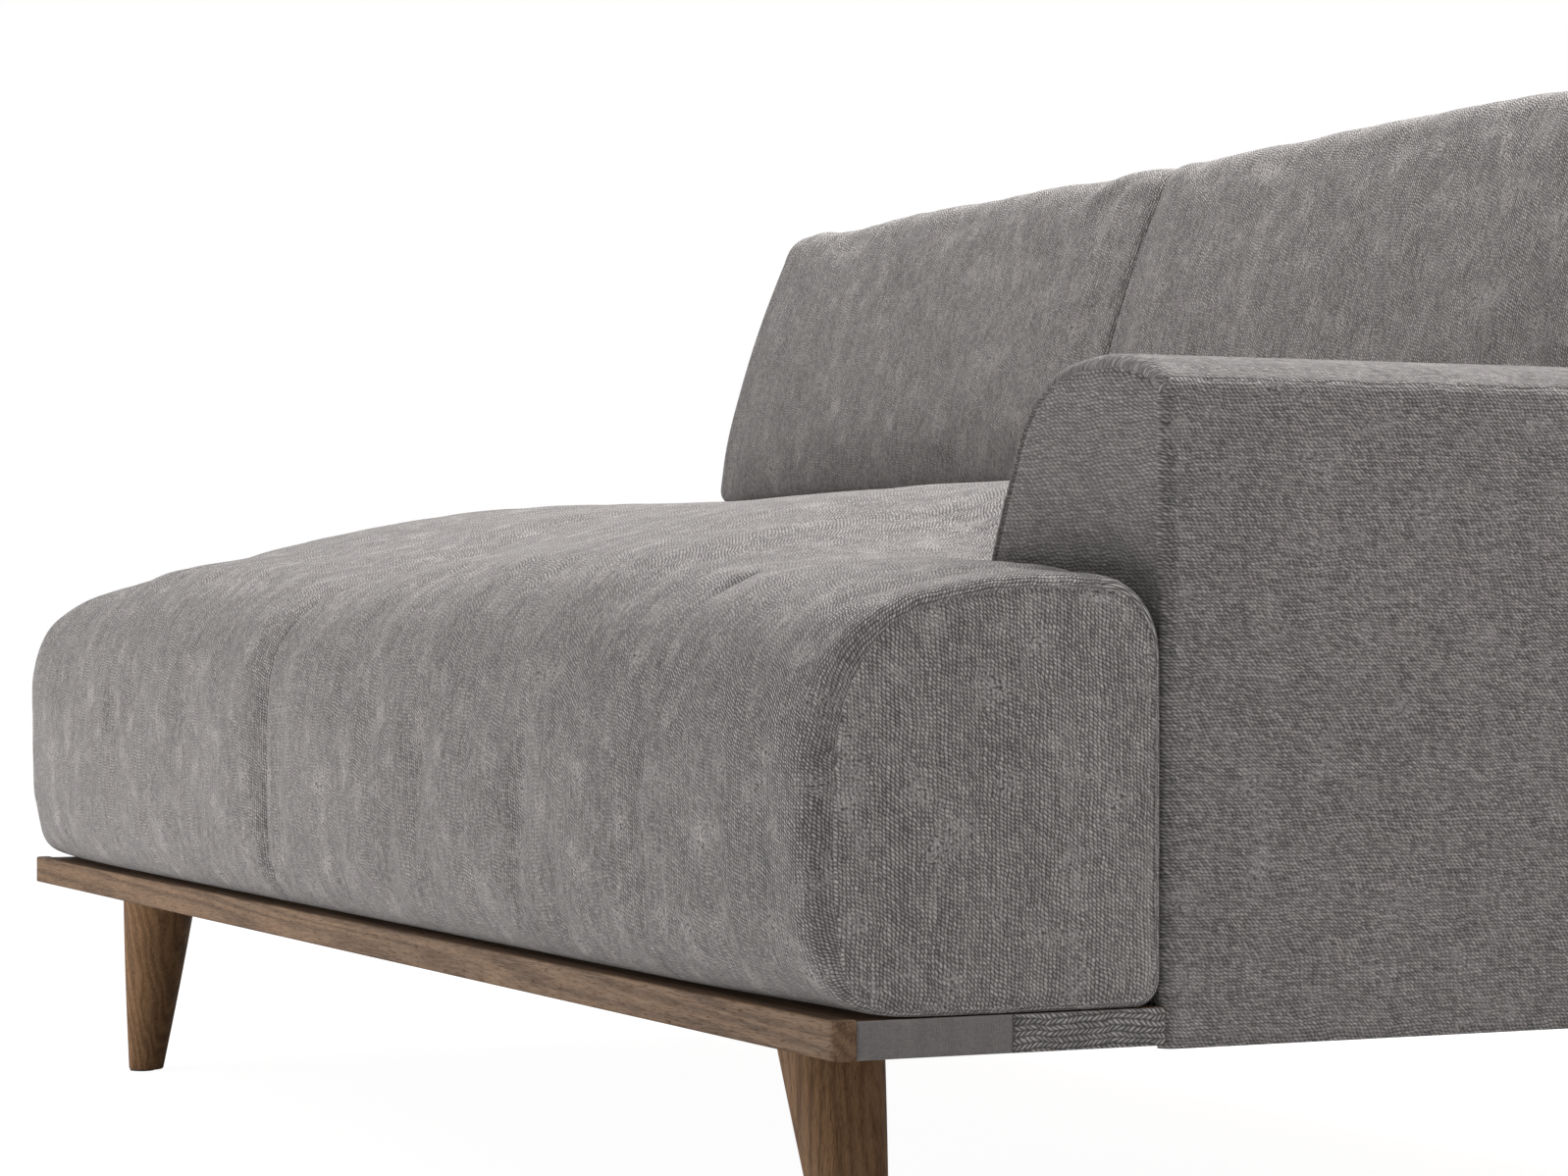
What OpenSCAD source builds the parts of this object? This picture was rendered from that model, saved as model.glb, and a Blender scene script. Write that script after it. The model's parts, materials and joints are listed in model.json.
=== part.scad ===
// Two-seat end section of a modular sofa: one upholstered arm on the right, an open left end,
// a wrap-round seat cushion in front of the arm, loose back cushions, a slim wooden front rail
// and four splayed wooden legs.
// +Z is up, +X is towards the arm, the front faces -Y. The origin is on the floor, under the
// middle of the section.

/* [Overall] */
// Width from the open left end to the outer side of the arm
overall_w = 1710; // [1500:10:2100]
// Depth from the fullest point of the seat cushions to the back
overall_d = 980; // [900:10:1080]
// How far the seat cushions stand out in front of the wooden rail
cushion_overhang = 20; // [10:1:30]
// Thickness of the fabric with its thin wadding
cover_t = 2.5; // [1.5:0.5:4]
// Running clearance round every loose cushion
cushion_gap = 0.6; // [0.4:0.1:2]

/* [Platform] */
// Height of the platform above the floor
platform_z = 168; // [120:1:220]
// Thickness of the platform boards
platform_t = 22; // [18:1:28]
// Thickness of the wooden rail, front to back
rail_t = 14; // [10:1:20]
// Height of the wooden rail
rail_h = 23; // [20:1:30]
// Radius on the rail's front corners
rail_corner_r = 6; // [3:1:10]
// Depth of the front board behind the rail
front_board_d = 246; // [235:1:280]
// Depth of the rear board
rear_board_d = 236; // [200:1:260]
// Width of the boards that join the front and rear boards
side_board_w = 95; // [60:1:120]
// Width of the dark lining's lap under the boards
lining_lap = 40; // [20:1:60]
// Thickness of the lining and of the cloth on the deck
cloth_t = 1.5; // [1:0.5:3]

/* [Deck] */
// Height of the deck beams on the platform
deck_h = 60; // [45:1:75]
// Thickness of the deck beams
beam_t = 28; // [22:1:34]
// Width of one webbing strap
strap_w = 60; // [50:1:75]
// Thickness of a webbing strap
strap_t = 2; // [1.5:0.5:3]
// Straps under each seat
strap_count = 7; // [4:1:8]
// Leg length of the corner blocks
block_leg = 60; // [40:1:80]
// Height of the corner blocks
block_h = 45; // [30:1:55]

/* [Legs] */
// Radius of a leg where it meets the platform
leg_top_r = 30; // [24:1:36]
// Radius of a leg at the foot
leg_foot_r = 14; // [11:1:18]
// How far the foot stands outside the top of the leg
leg_splay = 38; // [20:1:50]
// Distance from the section's end to the middle of the leg's top
leg_in_x = 150; // [110:1:200]
// Distance from the rail's front to the middle of the front legs
leg_in_y = 70; // [55:1:110]
// Height of the plastic glides
glide_h = 5; // [3:1:8]
// Radius of the plastic glides
glide_r = 11; // [8:1:12]

/* [Arm] */
// Width of the arm
arm_w = 212; // [190:1:240]
// Distance from the rail's front to the front of the arm
arm_setback = 211; // [205:1:222]
// Height of the arm's top above the floor
arm_top_z = 566; // [530:1:620]
// Radius of the arm's rounded top
arm_r = 88; // [70:1:94]
// Distance from the outer side to the start of the level top
arm_edge_in = 45; // [30:1:60]
// How far the inner curve leans outwards below the top
arm_lean_x = 36; // [20:1:50]
// Height over which the inner curve leans outwards
arm_lean_z = 53; // [35:1:70]
// Width of the arm's wooden frame
arm_frame_w = 90; // [60:1:100]
// Thickness of the arm's posts, front to back
arm_post_d = 30; // [25:1:40]
// Height of the arm's rails
arm_rail_h = 32; // [25:1:45]
// Height of the arm's frame above the floor
arm_frame_z = 480; // [440:1:500]
// Thickness of the board inside the arm's outer side
side_panel_t = 4; // [3:1:6]

/* [Back] */
// Height of the back frame above the floor
back_top_z = 735; // [680:1:760]
// Lean of the back
back_lean = 14; // [10:0.5:16]
// Depth of the back frame at its top
back_top_d = 38; // [30:1:60]
// Thickness of the foam on the back's front
back_pad_t = 14; // [8:1:16]
// Width of the back's posts
back_post_w = 36; // [28:1:45]
// Height of the back's rails
back_rail_h = 50; // [40:1:70]
// Webbing straps across the back
back_strap_count = 4; // [3:1:5]
// Clearance of those straps from the foam and the frame
back_strap_gap = 0.1; // [0.1:0.1:0.5]

/* [Seat cushions] */
// Height of the fullest point of the cushion's front above its underside
seat_belly_z = 120; // [100:1:140]
// Height of the ear's top above its underside
seat_ear_h = 248; // [225:1:265]
// Further rise of the cushion's front lip beside the ear
seat_lip_rise = 12; // [6:1:16]
// Height of the crest near the back cushions above the cushion's underside
seat_crest_h = 337; // [310:1:350]
// Distance from the rail's front to the level part of the front lip
seat_lip_b = 123; // [100:1:140]
// Distance from the rail's front to the tangent point under the front
seat_under_b = 80; // [60:1:100]
// Depth of the rounding at the cushions' ends
seat_end_r = 46; // [30:1:60]
// Drop of the cushion's top along its end seams
seat_end_drop = 10; // [5:1:20]
// Foam core's distance from the cushion's outer faces
core_wrap = 48; // [35:1:60]
// Clearance between a foam core and its jacket
core_gap = 0.3; // [0.2:0.1:1]

/* [Back cushions] */
// Thickness of a back cushion at its crown
pad_t = 160; // [130:1:180]
// Height of a back cushion along its lean
pad_h = 285; // [250:1:310]
// Rounding of the back cushions' edges
pad_r = 42; // [30:1:55]
// How far the sides of a back cushion are drawn in
pad_draw = 12; // [5:1:20]
// Foam core's distance from the back cushion's outer faces
pad_wrap = 34; // [26:1:45]

/* [Fasteners] */
// Radius of the frame bolts
bolt_r = 4; // [3:0.5:5]
// Radial clearance of a bolt or screw in its hole
bolt_gap = 0.2; // [0.1:0.1:0.5]
// Radius of the bolts' heads and of the nut plates
head_r = 9; // [7:0.5:12]
// Thickness of the bolts' heads and of the nut plates
head_t = 3; // [2:0.5:5]
// Length of a bolt inside the leg or post it holds
bolt_reach = 45; // [30:1:60]
// Radius of the wood screws
screw_r = 2.5; // [2:0.5:3]
// Length of a wood screw inside the deck beam it holds
screw_reach = 30; // [20:1:40]
// Radius of the holes that join the section to its neighbour
link_r = 4.25; // [3.5:0.25:5.5]
// Distance between those two holes
link_spacing = 320; // [200:10:380]

/* [Hidden] */

wood = "#6f4e37";
beech = "#c9a57a";
ply = "#b58f63";
cloth = "#77716e";
coarse_cloth = "#6c6663";
lining = "#2b2a2a";
steel = "#9a9da1";
foam = "#e6dcc3";
overrun = 1;
round_fn = 48;
arc_steps = 14;

x_right = overall_w / 2;
x_left = -x_right;
y_rail = -overall_d / 2 + cushion_overhang;
y_back = overall_d / 2;
y_arm = y_rail + arm_setback;
z_top = platform_z + platform_t;
z_deck = z_top + deck_h;
z_cloth = z_deck + strap_t + cloth_t;
in_left = x_left + cover_t;
in_right = x_right - cover_t;
in_back = y_back - cover_t;
x_arm = x_right - arm_w;
x_seam = (x_left + x_arm) / 2;
y_board = y_rail + rail_t;
y_front_edge = y_board + front_board_d;
y_rear_edge = in_back - rear_board_d;
tan_lean = tan(back_lean);
y_foot = y_back - back_top_d - (back_top_z - z_top) * tan_lean;
y_lip = y_front_edge - beam_t;
y_deck_end = y_foot - beam_t;
hole_r = bolt_r + bolt_gap;

function back_y(z) = y_foot + (z - z_top) * tan_lean;

// Places of the legs' tops, the bolts and the screws
leg_y_rear = in_back - leg_in_y - cover_t;
leg_places = [for (sx = [-1, 1], y = [y_rail + leg_in_y, leg_y_rear]) [sx, y]];
arm_bolt_x = in_right - side_panel_t - arm_frame_w / 2;
arm_bolt_ys = [y_arm + cover_t + arm_post_d / 2, in_back - arm_post_d / 2];
back_post_xs = [in_left, x_seam - back_post_w / 2, x_arm - back_post_w];
back_bolt_y = in_back - head_r * 2;
beam_xs = [in_left, x_seam - beam_t / 2, x_arm - beam_t];
screw_shares = [0.08, 0.5, 0.92];
link_ys = [for (s = [-1, 1]) (y_front_edge + y_deck_end) / 2 + s * link_spacing / 2];
link_z = z_top + deck_h / 2;

// A block from its lowest corner to its highest corner
module block(low, high) {
    translate(low) cube(high - low);
}

// A profile of [y, z] points pushed along X between two planes
module along_x(x0, x1, points) {
    translate([x0, 0, 0])
        rotate([90, 0, 90])
        linear_extrude(height = x1 - x0) polygon(points);
}

// A profile of [x, z] points pushed along Y between two planes
module along_y(y0, y1, points) {
    translate([0, y1, 0])
        rotate([90, 0, 0])
        linear_extrude(height = y1 - y0) polygon(points);
}

// An upright rod
module rod(x, y, z0, z1, r) {
    translate([x, y, z0]) cylinder(h = z1 - z0, r = r, $fn = round_fn);
}

module leg_holes(y_low, y_high) {
    for (p = leg_places) if (p[1] > y_low && p[1] < y_high) {
        x = p[0] * (x_right - leg_in_x);
        rod(x, p[1], platform_z - overrun, z_top + overrun, hole_r);
        rod(x, p[1], z_top - head_t, z_top + overrun, head_r + bolt_gap);
    }
}

module arm_bolt_holes() {
    for (y = arm_bolt_ys)
        rod(arm_bolt_x, y, platform_z - overrun, z_top + bolt_reach + bolt_gap, hole_r);
}

module back_bolt_holes() {
    for (x = back_post_xs)
        rod(x + back_post_w / 2, back_bolt_y, platform_z - overrun,
            z_top + bolt_reach + bolt_gap, hole_r);
}

function side_screw_y(s) = y_front_edge + s * (y_deck_end - y_front_edge);

module screw_holes() {
    for (x = beam_xs, s = screw_shares)
        rod(x + beam_t / 2, side_screw_y(s), platform_z - overrun,
            z_top + screw_reach + bolt_gap, screw_r + bolt_gap);
}

module link_holes() {
    for (y = link_ys)
        translate([x_left - overrun, y, link_z])
            rotate([0, 90, 0])
            cylinder(h = cover_t + beam_t + 2 * overrun, r = link_r, $fn = round_fn);
}

// Wooden rail along the front, with rounded front corners
module front_rail() {
    color(wood)
        translate([0, 0, platform_z])
        linear_extrude(height = rail_h)
        union() {
            translate([x_left, y_rail + rail_corner_r])
                square([overall_w, rail_t - rail_corner_r]);
            translate([x_left + rail_corner_r, y_rail])
                square([overall_w - 2 * rail_corner_r, rail_corner_r + overrun]);
            for (sx = [-1, 1])
                translate([sx * (x_right - rail_corner_r), y_rail + rail_corner_r])
                circle(r = rail_corner_r, $fn = round_fn);
        }
}

module front_board() {
    color(wood) difference() {
        block([in_left, y_board, platform_z], [in_right, y_front_edge, z_top]);
        leg_holes(y_board, y_front_edge);
        arm_bolt_holes();
    }
}

module rear_board() {
    color(ply) difference() {
        block([in_left, y_rear_edge, platform_z], [in_right, in_back, z_top]);
        leg_holes(y_rear_edge, in_back);
        arm_bolt_holes();
        back_bolt_holes();
        screw_holes();
    }
}

module joining_board(x0, x1) {
    color(ply) difference() {
        block([x0, y_front_edge, platform_z], [x1, y_rear_edge, z_top]);
        screw_holes();
    }
}

module left_board() { joining_board(in_left, in_left + side_board_w); }
module right_board() { joining_board(x_arm - side_board_w, in_right); }
module centre_board() { joining_board(x_seam - side_board_w / 2, x_seam + side_board_w / 2); }

module deck_front_beam() {
    color(beech) block([in_left, y_lip, z_top], [x_arm, y_front_edge, z_deck]);
}

module deck_rear_beam() {
    color(beech) block([in_left, y_deck_end, z_top], [x_arm, y_foot, z_deck]);
}

// A beam of the deck that runs front to back
module deck_beam(x0) {
    color(beech) difference() {
        block([x0, y_front_edge, z_top], [x0 + beam_t, y_deck_end, z_deck]);
        screw_holes();
        link_holes();
    }
}

module deck_left_beam() { deck_beam(beam_xs[0]); }
module deck_centre_beam() { deck_beam(beam_xs[1]); }
module deck_right_beam() { deck_beam(beam_xs[2]); }

// Glued triangular blocks in the deck's inner corners
module corner_blocks() {
    corners = [
        [beam_xs[0] + beam_t, 1], [beam_xs[1], -1], [beam_xs[1] + beam_t, 1], [beam_xs[2], -1]
    ];
    color(ply) for (c = corners, side = [[y_front_edge, 1], [y_deck_end, -1]])
        translate([c[0], side[0], z_top])
        mirror([c[1] < 0 ? 1 : 0, 0, 0])
        mirror([0, side[1] < 0 ? 1 : 0, 0])
        linear_extrude(height = block_h)
        polygon([[0, 0], [block_leg, 0], [0, block_leg]]);
}

// Elastic webbing from the front beam to the rear beam
module seat_webbing() {
    bays = [[beam_xs[0] + beam_t, beam_xs[1]], [beam_xs[1] + beam_t, beam_xs[2]]];
    color(lining) for (bay = bays, k = [0 : strap_count - 1]) {
        x = bay[0] + (bay[1] - bay[0]) * (k + 0.5) / strap_count;
        block([x - strap_w / 2, y_lip, z_deck], [x + strap_w / 2, y_foot, z_deck + strap_t]);
    }
}

module deck_cloth() {
    color(lining)
        block([in_left, y_lip, z_deck + strap_t], [x_arm, y_foot, z_cloth]);
}

// Cloth stapled under the platform's open middle
module underside_lining() {
    color(lining)
        block([x_left + lining_lap, y_front_edge - lining_lap, platform_z - cloth_t],
              [x_arm, y_rear_edge + lining_lap / 4, platform_z]);
}

module platform_screws() {
    color(steel) for (x = beam_xs, s = screw_shares)
        rod(x + beam_t / 2, side_screw_y(s), platform_z, z_top + screw_reach, screw_r);
}

// A turned, tapered leg that leans outwards, cut level at both ends
module leg(sx, y) {
    lean = atan(leg_splay / platform_z);
    long = platform_z / cos(lean);
    color(wood) difference() {
        intersection() {
            translate([sx * (x_right - leg_in_x + leg_splay), y, 0])
                rotate([0, -sx * lean, 0])
                translate([0, 0, -leg_top_r])
                cylinder(h = long + 2 * leg_top_r,
                         r1 = leg_foot_r * cos(lean)
                              - (leg_top_r - leg_foot_r) * cos(lean) * leg_top_r / long,
                         r2 = leg_top_r * cos(lean)
                              + (leg_top_r - leg_foot_r) * cos(lean) * leg_top_r / long,
                         $fn = round_fn);
            block([sx * x_right - leg_in_x * 2, y - leg_top_r * 2, glide_h],
                  [sx * x_right + leg_in_x * 2, y + leg_top_r * 2, platform_z]);
        }
        rod(sx * (x_right - leg_in_x), y, platform_z - bolt_reach - bolt_gap,
            platform_z + overrun, hole_r);
    }
}

module front_left_leg() { leg(leg_places[0][0], leg_places[0][1]); }
module rear_left_leg() { leg(leg_places[1][0], leg_places[1][1]); }
module front_right_leg() { leg(leg_places[2][0], leg_places[2][1]); }
module rear_right_leg() { leg(leg_places[3][0], leg_places[3][1]); }

module leg_bolts() {
    color(steel) for (p = leg_places)
        rod(p[0] * (x_right - leg_in_x), p[1], platform_z - bolt_reach,
            z_top - bolt_gap, bolt_r);
}

module leg_nuts() {
    color(steel) for (p = leg_places) {
        x = p[0] * (x_right - leg_in_x);
        difference() {
            rod(x, p[1], z_top - head_t, z_top - bolt_gap, head_r);
            rod(x, p[1], platform_z, z_top + overrun, hole_r);
        }
    }
}

module leg_glides() {
    color(lining) for (p = leg_places)
        rod(p[0] * (x_right - leg_in_x + leg_splay * (1 - glide_h / platform_z / 2)), p[1], 0,
            glide_h, glide_r);
}

// Fabric on the platform's end, from the rail to the coarse band
module side_band() {
    color(cloth)
        block([in_right, y_board, platform_z], [x_right, (y_board + y_arm) / 2, z_top]);
}

module side_band_coarse() {
    color(coarse_cloth)
        block([in_right, (y_board + y_arm) / 2, platform_z], [x_right, y_arm, z_top]);
}

// Fabric on the open end of the platform and deck, with the two joining holes
module left_end_cover() {
    color(cloth) difference() {
        along_x(x_left, in_left, [
            [y_board, platform_z], [y_back, platform_z], [y_back, z_top], [back_y(z_top), z_top],
            [back_y(z_cloth), z_cloth], [y_lip, z_cloth], [y_lip, z_top], [y_board, z_top]
        ]);
        link_holes();
    }
}

// Points of an arc in the [u, z] plane, u counted inwards from the arm's outer side
function arc(cu, cz, r, a0, a1) =
    [for (k = [0 : arc_steps]) let (a = a0 + (a1 - a0) * k / arc_steps)
        [cu + r * cos(a), cz + r * sin(a)]];

arm_lean_a = atan2(arm_lean_x, arm_lean_z);
arm_cz = arm_top_z - arm_r;

// The arm's upper outline, inset by t, from the outer seam over the top to the inner side
function arm_curve(t) = concat(
    arc(arm_edge_in, arm_cz, arm_r - t, 180 - acos((arm_edge_in - t) / (arm_r - t)), 90),
    arc(arm_w - arm_r - arm_lean_x, arm_cz, arm_r - t, 90, arm_lean_a),
    arc(arm_w - arm_r, arm_cz - arm_lean_z, arm_r - t, arm_lean_a, 0));

// The same points with x in place of u
function from_outer(points) = [for (p = points) [x_right - p[0], p[1]]];
function reversed(points) = [for (k = [len(points) - 1 : -1 : 0]) points[k]];
function arm_panel(t, z0) =
    from_outer(concat([[t, z0]], arm_curve(t), [[arm_w - t, z0]]));

module arm_front_post() {
    color(beech) difference() {
        block([in_right - side_panel_t - arm_frame_w, y_arm + cover_t, z_top],
              [in_right - side_panel_t, y_arm + cover_t + arm_post_d, arm_frame_z - arm_rail_h]);
        arm_bolt_holes();
    }
}

module arm_rear_post() {
    color(beech) difference() {
        block([in_right - side_panel_t - arm_frame_w, in_back - arm_post_d, z_top],
              [in_right - side_panel_t, in_back, arm_frame_z - arm_rail_h]);
        arm_bolt_holes();
    }
}

module arm_top_rail() {
    color(beech)
        block([in_right - side_panel_t - arm_frame_w, y_arm + cover_t, arm_frame_z - arm_rail_h],
              [in_right - side_panel_t, in_back, arm_frame_z]);
}

module arm_bottom_rail() {
    color(beech)
        block([in_right - side_panel_t - arm_frame_w, y_arm + cover_t + arm_post_d, z_top],
              [in_right - side_panel_t, in_back - arm_post_d, z_top + arm_rail_h]);
}

module arm_side_panel() {
    color(ply)
        block([in_right - side_panel_t, y_arm + cover_t, z_top],
              [in_right, in_back, arm_frame_z]);
}

// Foam over the top and inner side of the arm's frame
module arm_padding() {
    frame_u = cover_t + side_panel_t + arm_frame_w;
    color(foam) along_y(y_arm + cover_t, in_back, from_outer(concat(
        [[cover_t, arm_frame_z]], arm_curve(cover_t),
        [[arm_w - cover_t, z_top], [frame_u, z_top], [frame_u, arm_frame_z]])));
}

module arm_side_cover() {
    seam = arm_curve(0)[0];
    inner = arm_curve(cover_t)[0];
    color(cloth) along_y(y_arm, y_back, from_outer([
        [0, platform_z], [cover_t, platform_z], inner, [0, seam[1]]
    ]));
}

module arm_front_cover() {
    color(cloth) along_y(y_arm, y_arm + cover_t, arm_panel(cover_t, z_top));
}

module arm_rear_cover() {
    color(cloth) along_y(in_back, y_back, arm_panel(cover_t, platform_z));
}

module arm_top_cover() {
    color(cloth) along_y(y_arm, y_back, from_outer(concat(
        arm_curve(0), [[arm_w, z_top], [arm_w - cover_t, z_top]],
        reversed(arm_curve(cover_t)))));
}

module arm_bolts() {
    color(steel) for (y = arm_bolt_ys) {
        rod(arm_bolt_x, y, platform_z, z_top + bolt_reach, bolt_r);
        rod(arm_bolt_x, y, platform_z - head_t, platform_z, head_r);
    }
}

// The back's frame behind its cover, foam and webbing, as a [y, z] profile
back_skin = cover_t + back_pad_t;
function back_frame_y(z) = back_y(z) + back_skin + strap_t;
function back_slice(z0, z1) = [
    [back_frame_y(z0), z0], [in_back, z0], [in_back, z1], [back_frame_y(z1), z1]
];

module back_post(x0) {
    color(beech) difference() {
        along_x(x0, x0 + back_post_w, back_slice(z_top, back_top_z - cover_t));
        back_bolt_holes();
    }
}

module back_left_post() { back_post(back_post_xs[0]); }
module back_centre_post() { back_post(back_post_xs[1]); }
module back_right_post() { back_post(back_post_xs[2]); }

module back_rail_pair(z0, z1) {
    color(beech) for (k = [0, 1])
        along_x(back_post_xs[k] + back_post_w, back_post_xs[k + 1], back_slice(z0, z1));
}

module back_top_rails() {
    back_rail_pair(back_top_z - cover_t - back_rail_h, back_top_z - cover_t);
}
module back_bottom_rails() { back_rail_pair(z_top, z_top + back_rail_h); }

// A leaning layer of the back between two depths behind its front face
function back_layer(d0, d1, z0, z1) = [
    [back_y(z0) + d0, z0], [back_y(z0) + d1, z0], [back_y(z1) + d1, z1], [back_y(z1) + d0, z1]
];

module back_webbing() {
    free_h = back_top_z - z_cloth;
    color(lining) for (k = [0 : back_strap_count - 1]) {
        z = z_cloth + free_h * (k + 0.5) / back_strap_count;
        along_x(in_left, x_arm,
                back_layer(back_skin + back_strap_gap, back_skin + strap_t - back_strap_gap,
                           z - strap_w / 2, z + strap_w / 2));
    }
}

module back_padding() {
    color(foam) along_x(in_left, x_arm,
                        back_layer(cover_t, back_skin, z_top, back_top_z - cover_t));
}

module back_front_cover() {
    lid_z = back_top_z - cover_t;
    color(cloth) along_x(in_left, x_arm, [
        [back_y(z_top), z_top], [back_y(z_top) + cover_t, z_top],
        [back_y(lid_z) + cover_t, lid_z], [y_back, lid_z],
        [y_back, back_top_z], [back_y(back_top_z), back_top_z]
    ]);
}

module back_rear_cover() {
    color(cloth)
        block([in_left, in_back, platform_z], [x_arm, y_back, back_top_z - cover_t]);
}

// Fabric on the open end of the back
module back_end_cover() {
    color(cloth) along_x(x_left, in_left, [
        [back_y(z_top), z_top], [y_back, z_top], [y_back, back_top_z],
        [back_y(back_top_z), back_top_z]
    ]);
}

module back_bolts() {
    color(steel) for (x = back_post_xs) {
        rod(x + back_post_w / 2, back_bolt_y, platform_z, z_top + bolt_reach, bolt_r);
        rod(x + back_post_w / 2, back_bolt_y, platform_z - head_t, platform_z, head_r);
    }
}

// Joins rings of equal length into one closed solid, with a point at the middle of each end
module ring_solid(rings, first, last) {
    n = len(rings[0]);
    m = len(rings);
    points = concat([for (ring = rings) each ring], [first, last]);
    walls = [for (k = [0 : m - 2], i = [0 : n - 1])
        let (a = k * n + i, b = k * n + (i + 1) % n)
        each [[a, b, b + n], [a, b + n, a + n]]];
    ends = [for (i = [0 : n - 1])
        each [[m * n, (i + 1) % n, i],
              [m * n + 1, (m - 1) * n + i, (m - 1) * n + (i + 1) % n]]];
    polyhedron(points = points, faces = concat(walls, ends), convexity = 6);
}

// A quarter of a rounded corner in the [y, z] plane, from the level side to the upright side
function corner(cy, cz, ry, rz, power, a0, a1, steps) =
    [for (k = [0 : steps]) let (a = a0 + (a1 - a0) * k / steps)
        [cy + ry * sign(cos(a)) * pow(abs(cos(a)), 2 / power),
         cz + rz * sign(sin(a)) * pow(abs(sin(a)), 2 / power)]];

ear_corner_share = 0.17;
ear_foot_share = 0.45;
ear_low_share = 0.2;
ear_drop_shares = [1, 0.7, 0.5, 0.5];
ear_shares = [0, 0.25, 0.5, 0.75];
pad_rest_shares = [0.5, 1];
end_draw_share = 0.32;
seat_z = z_top + cushion_gap / 2;
seat_rest_z = z_cloth + cushion_gap / 2;
seat_front_y = y_rail - cushion_overhang;
seat_lip_y = y_rail + seat_lip_b;
seat_under_y = y_rail + seat_under_b;
ear_back_y = y_arm - cushion_gap;
ear_top_r = seat_ear_h * ear_corner_share;
ear_foot_r = ear_top_r * ear_foot_share;
lip_power = 2.6;
under_power = 2.9;
lip_steps = 2;
crest_steps = 9;
front_steps = 7;
ear_steps = 4;
foot_steps = 3;

function seat_rear_y(z) = back_y(z) - cushion_gap;

// The crest: where the seat's top meets the underside of the back cushions
pad_foot_z = seat_z + seat_crest_h - pad_t * sin(back_lean);
crest_y = back_y(pad_foot_z) - pad_t * cos(back_lean) - cushion_gap;
crest_z = seat_z + seat_crest_h - cushion_gap;

// The seat's level lip in front, shared by the ear and the full section
function lip_curve(drop) = concat(
    corner(seat_under_y, seat_z + seat_belly_z, seat_under_y - seat_front_y, seat_belly_z,
           under_power, 270, 180, front_steps),
    [for (p = corner(seat_lip_y, seat_z + seat_belly_z, seat_lip_y - seat_front_y,
                     seat_ear_h + seat_lip_rise - seat_belly_z - drop,
                     lip_power, 180, 90, front_steps)) if (p[1] > seat_z + seat_belly_z) p]);

// Where the cushion's rear chamber, on the deck, meets its lower front chamber
y_step = y_lip - cushion_gap;
crown_ys = concat(
    [for (k = [1 : lip_steps]) seat_lip_y + (y_step - seat_lip_y) * k / lip_steps],
    [for (k = [1 : crest_steps]) y_step + (crest_y - y_step) * k / crest_steps]);

// The rest of the full section: over the crest, down the leaning rear and under the deck
function full_rest(drop) = let (
    z0 = seat_z + seat_ear_h + seat_lip_rise - drop,
    z_end = crest_z - drop,
    y_end = seat_rear_y(z_end - (seat_rear_y(z_end) - crest_y) * tan_lean)
) concat(
    [for (y = crown_ys) [y, z0 + (z_end - z0) * sin(90 * (y - seat_lip_y) / (crest_y - seat_lip_y))]],
    [for (s = pad_rest_shares)
        [crest_y + (y_end - crest_y) * s, z_end - (y_end - crest_y) * s * tan_lean]],
    [[seat_rear_y(seat_rest_z), seat_rest_z], [y_step, seat_rest_z], [y_step, seat_z]],
    [for (k = [1 : foot_steps]) [y_step - ear_foot_r * k, seat_z]]);

// The rest of the ear's section: down its rear and back under it, as many points as above
function ear_rest(drop) = let (
    z0 = seat_z + seat_ear_h + seat_lip_rise - drop,
    z_wall = z0 - ear_top_r,
    z_low = seat_rest_z + (z_wall - seat_rest_z) * ear_low_share
) concat(
    [for (k = [0 : crest_steps - ear_steps]) let (a = 90 - 90 * k / (crest_steps - ear_steps))
        [ear_back_y - ear_top_r + ear_top_r * cos(a), z_wall + ear_top_r * sin(a)]],
    [for (k = [1 : ear_steps + 2])
        [ear_back_y, z_wall - (z_wall - z_low) * k / (ear_steps + 2)]],
    [[ear_back_y, seat_rest_z + cushion_gap]],
    [for (k = [0 : foot_steps]) let (a = -90 * k / foot_steps)
        [ear_back_y - ear_foot_r + ear_foot_r * cos(a),
         seat_z + ear_foot_r + ear_foot_r * sin(a)]]);

// Whether a point lies on the underside that rests on the deck, or on the step in front of it
function rests(p) = p[1] <= seat_rest_z && p[0] >= y_step;

// A section drawn in towards its middle by e on every side, apart from where it rests and
// where its chambers meet
function drawn_in(points, e) = let (
    low_y = min([for (p = points) p[0]]), high_y = max([for (p = points) p[0]]),
    low_z = min([for (p = points) p[1]]), high_z = max([for (p = points) p[1]]),
    cy = (low_y + high_y) / 2,
    sy = 1 - 2 * e / (high_y - low_y), sz = 1 - e / (high_z - low_z)
) [for (p = points) rests(p) ? p
    : [p[0] == y_step ? y_step : cy + (p[0] - cy) * sy, seat_z + (p[1] - seat_z) * sz]];

// How far a section is drawn in at a distance from the cushion's end
function end_inset(d) = d >= seat_end_r ? 0
    : seat_end_r * end_draw_share * (1 - sqrt(1 - pow(1 - d / seat_end_r, 2)));
end_shares = [0, 0.06, 0.25, 0.6, 1];
end_ds = [for (s = end_shares) s * seat_end_r];

// How far the top drops below the crown at a share of the cushion's width
function crown_drop(s) = seat_end_drop * pow(abs(2 * s - 1), 3);

function seat_ring(x, points, e) = [for (p = drawn_in(points, e)) [x, p[0], p[1]]];

mid_shares = [0.2, 0.35, 0.5, 0.65, 0.8];

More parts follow.
